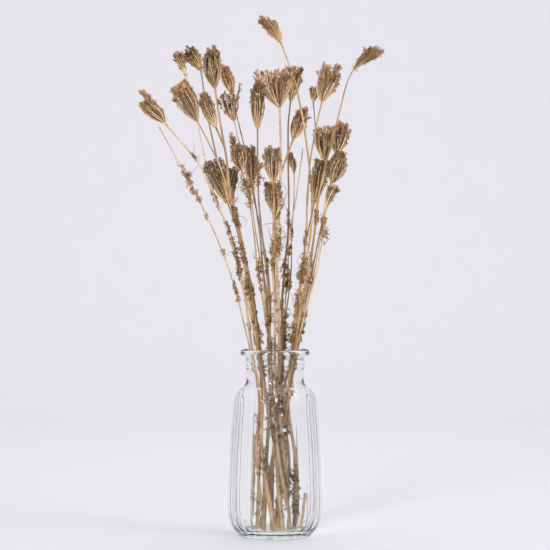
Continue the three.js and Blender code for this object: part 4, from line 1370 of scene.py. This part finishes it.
class WILDCARROT_OT_umbels(Operator):
    """Makes the umbels with their rays, umbellets, seeds and bracts"""
    bl_idname = "wild_carrot.umbels"
    bl_label = "Umbels"

    def execute(self, context):
        # The rays' noise starts at the time of day unless it is given a seed
        noise.seed_set(1)
        umbellets = patterns("umbellet", build_umbellet, build_seed_spray)
        finishes = {finish: dried_umbel(finish) for finish in UMBEL_COLOURS}
        bearers = {name: limb for limbs in bunch["limbs"].values() for name, limb in limbs.items()
                   if name in UMBEL_LOOKS}
        for name, limb in bearers.items():
            look = UMBEL_LOOKS[name]
            guides = Guides()
            grow_umbel(guides, UmbelForm(name, limb, look.outline), look, random.Random(name))
            piece = grow(name.replace("umbel", "dry_umbel"), guides.mesh(name), bunch["tree"], Sides=3,
                         Tufts=umbellets, Uneven=0.15, Seed=5, Material=finishes[look.finish])
            finish_piece(piece, "dried_umbel", name)
        return {"FINISHED"}


class WILDCARROT_OT_scraps(Operator):
    """Makes the loose stalk end and the crumbs on the vase's floor"""
    bl_idname = "wild_carrot.scraps"
    bl_label = "Scraps in the vase"

    def execute(self, context):
        settings = context.scene.wild_carrot_stalks
        guides = Guides()
        lay_loose_end(guides)
        piece = grow("loose_stalk", guides.mesh("loose_stalk"), stalk_tree(), Ribs=settings.ribs,
                     Rib_depth=settings.rib_depth, Material=dried_straw_stalk())
        finish_piece(piece, "dried_stalk", "loose_stalk_end")
        guides = Guides()
        strew_crumbs(guides, random.Random(11))
        piece = grow("leaf_crumbs", guides.mesh("leaf_crumbs"), bunch["tree"], Sides=3,
                     Tufts=bunch["leaflets"], Uneven=0.3, Seed=4, Material=bunch["leaf"])
        finish_piece(piece, "dried_stalk")
        return {"FINISHED"}


class WILDCARROT_PT_panel(Panel):
    """Lists the sizes, colours and steps"""
    bl_label = "Dried wild carrot"
    bl_idname = "WILDCARROT_PT_panel"
    bl_space_type = "VIEW_3D"
    bl_region_type = "UI"
    bl_category = "Wild Carrot"

    def draw(self, context):
        for name in SETTINGS:
            settings = getattr(context.scene, name)
            box = self.layout.box()
            for key in settings.__annotations__:
                box.prop(settings, key)
        for operator in OPERATORS:
            self.layout.operator(operator.bl_idname)


SETTINGS = {
    "wild_carrot_vase": VaseSettings,
    "wild_carrot_stalks": StalkSettings,
    "wild_carrot_umbels": UmbelSettings,
    "wild_carrot_leaves": LeafSettings,
    "wild_carrot_stage": StageSettings,
}
OPERATORS = (
    WILDCARROT_OT_stage,
    WILDCARROT_OT_vase,
    WILDCARROT_OT_stalks,
    WILDCARROT_OT_leaves,
    WILDCARROT_OT_umbels,
    WILDCARROT_OT_scraps,
)


def register():
    """Registers the settings, the operators and the panel."""
    for name, group in SETTINGS.items():
        bpy.utils.register_class(group)
        setattr(bpy.types.Scene, name, PointerProperty(type=group))
    for operator in OPERATORS:
        bpy.utils.register_class(operator)
    bpy.utils.register_class(WILDCARROT_PT_panel)


def unregister():
    """Takes back what register did."""
    bpy.utils.unregister_class(WILDCARROT_PT_panel)
    for operator in reversed(OPERATORS):
        bpy.utils.unregister_class(operator)
    for name, group in SETTINGS.items():
        delattr(bpy.types.Scene, name)
        bpy.utils.unregister_class(group)


def main():
    """Makes every piece in turn."""
    register()
    bpy.ops.wild_carrot.stage()
    bpy.ops.wild_carrot.vase()
    bpy.ops.wild_carrot.stalks()
    bpy.ops.wild_carrot.leaves()
    bpy.ops.wild_carrot.umbels()
    bpy.ops.wild_carrot.scraps()


if __name__ == "__main__":
    main()
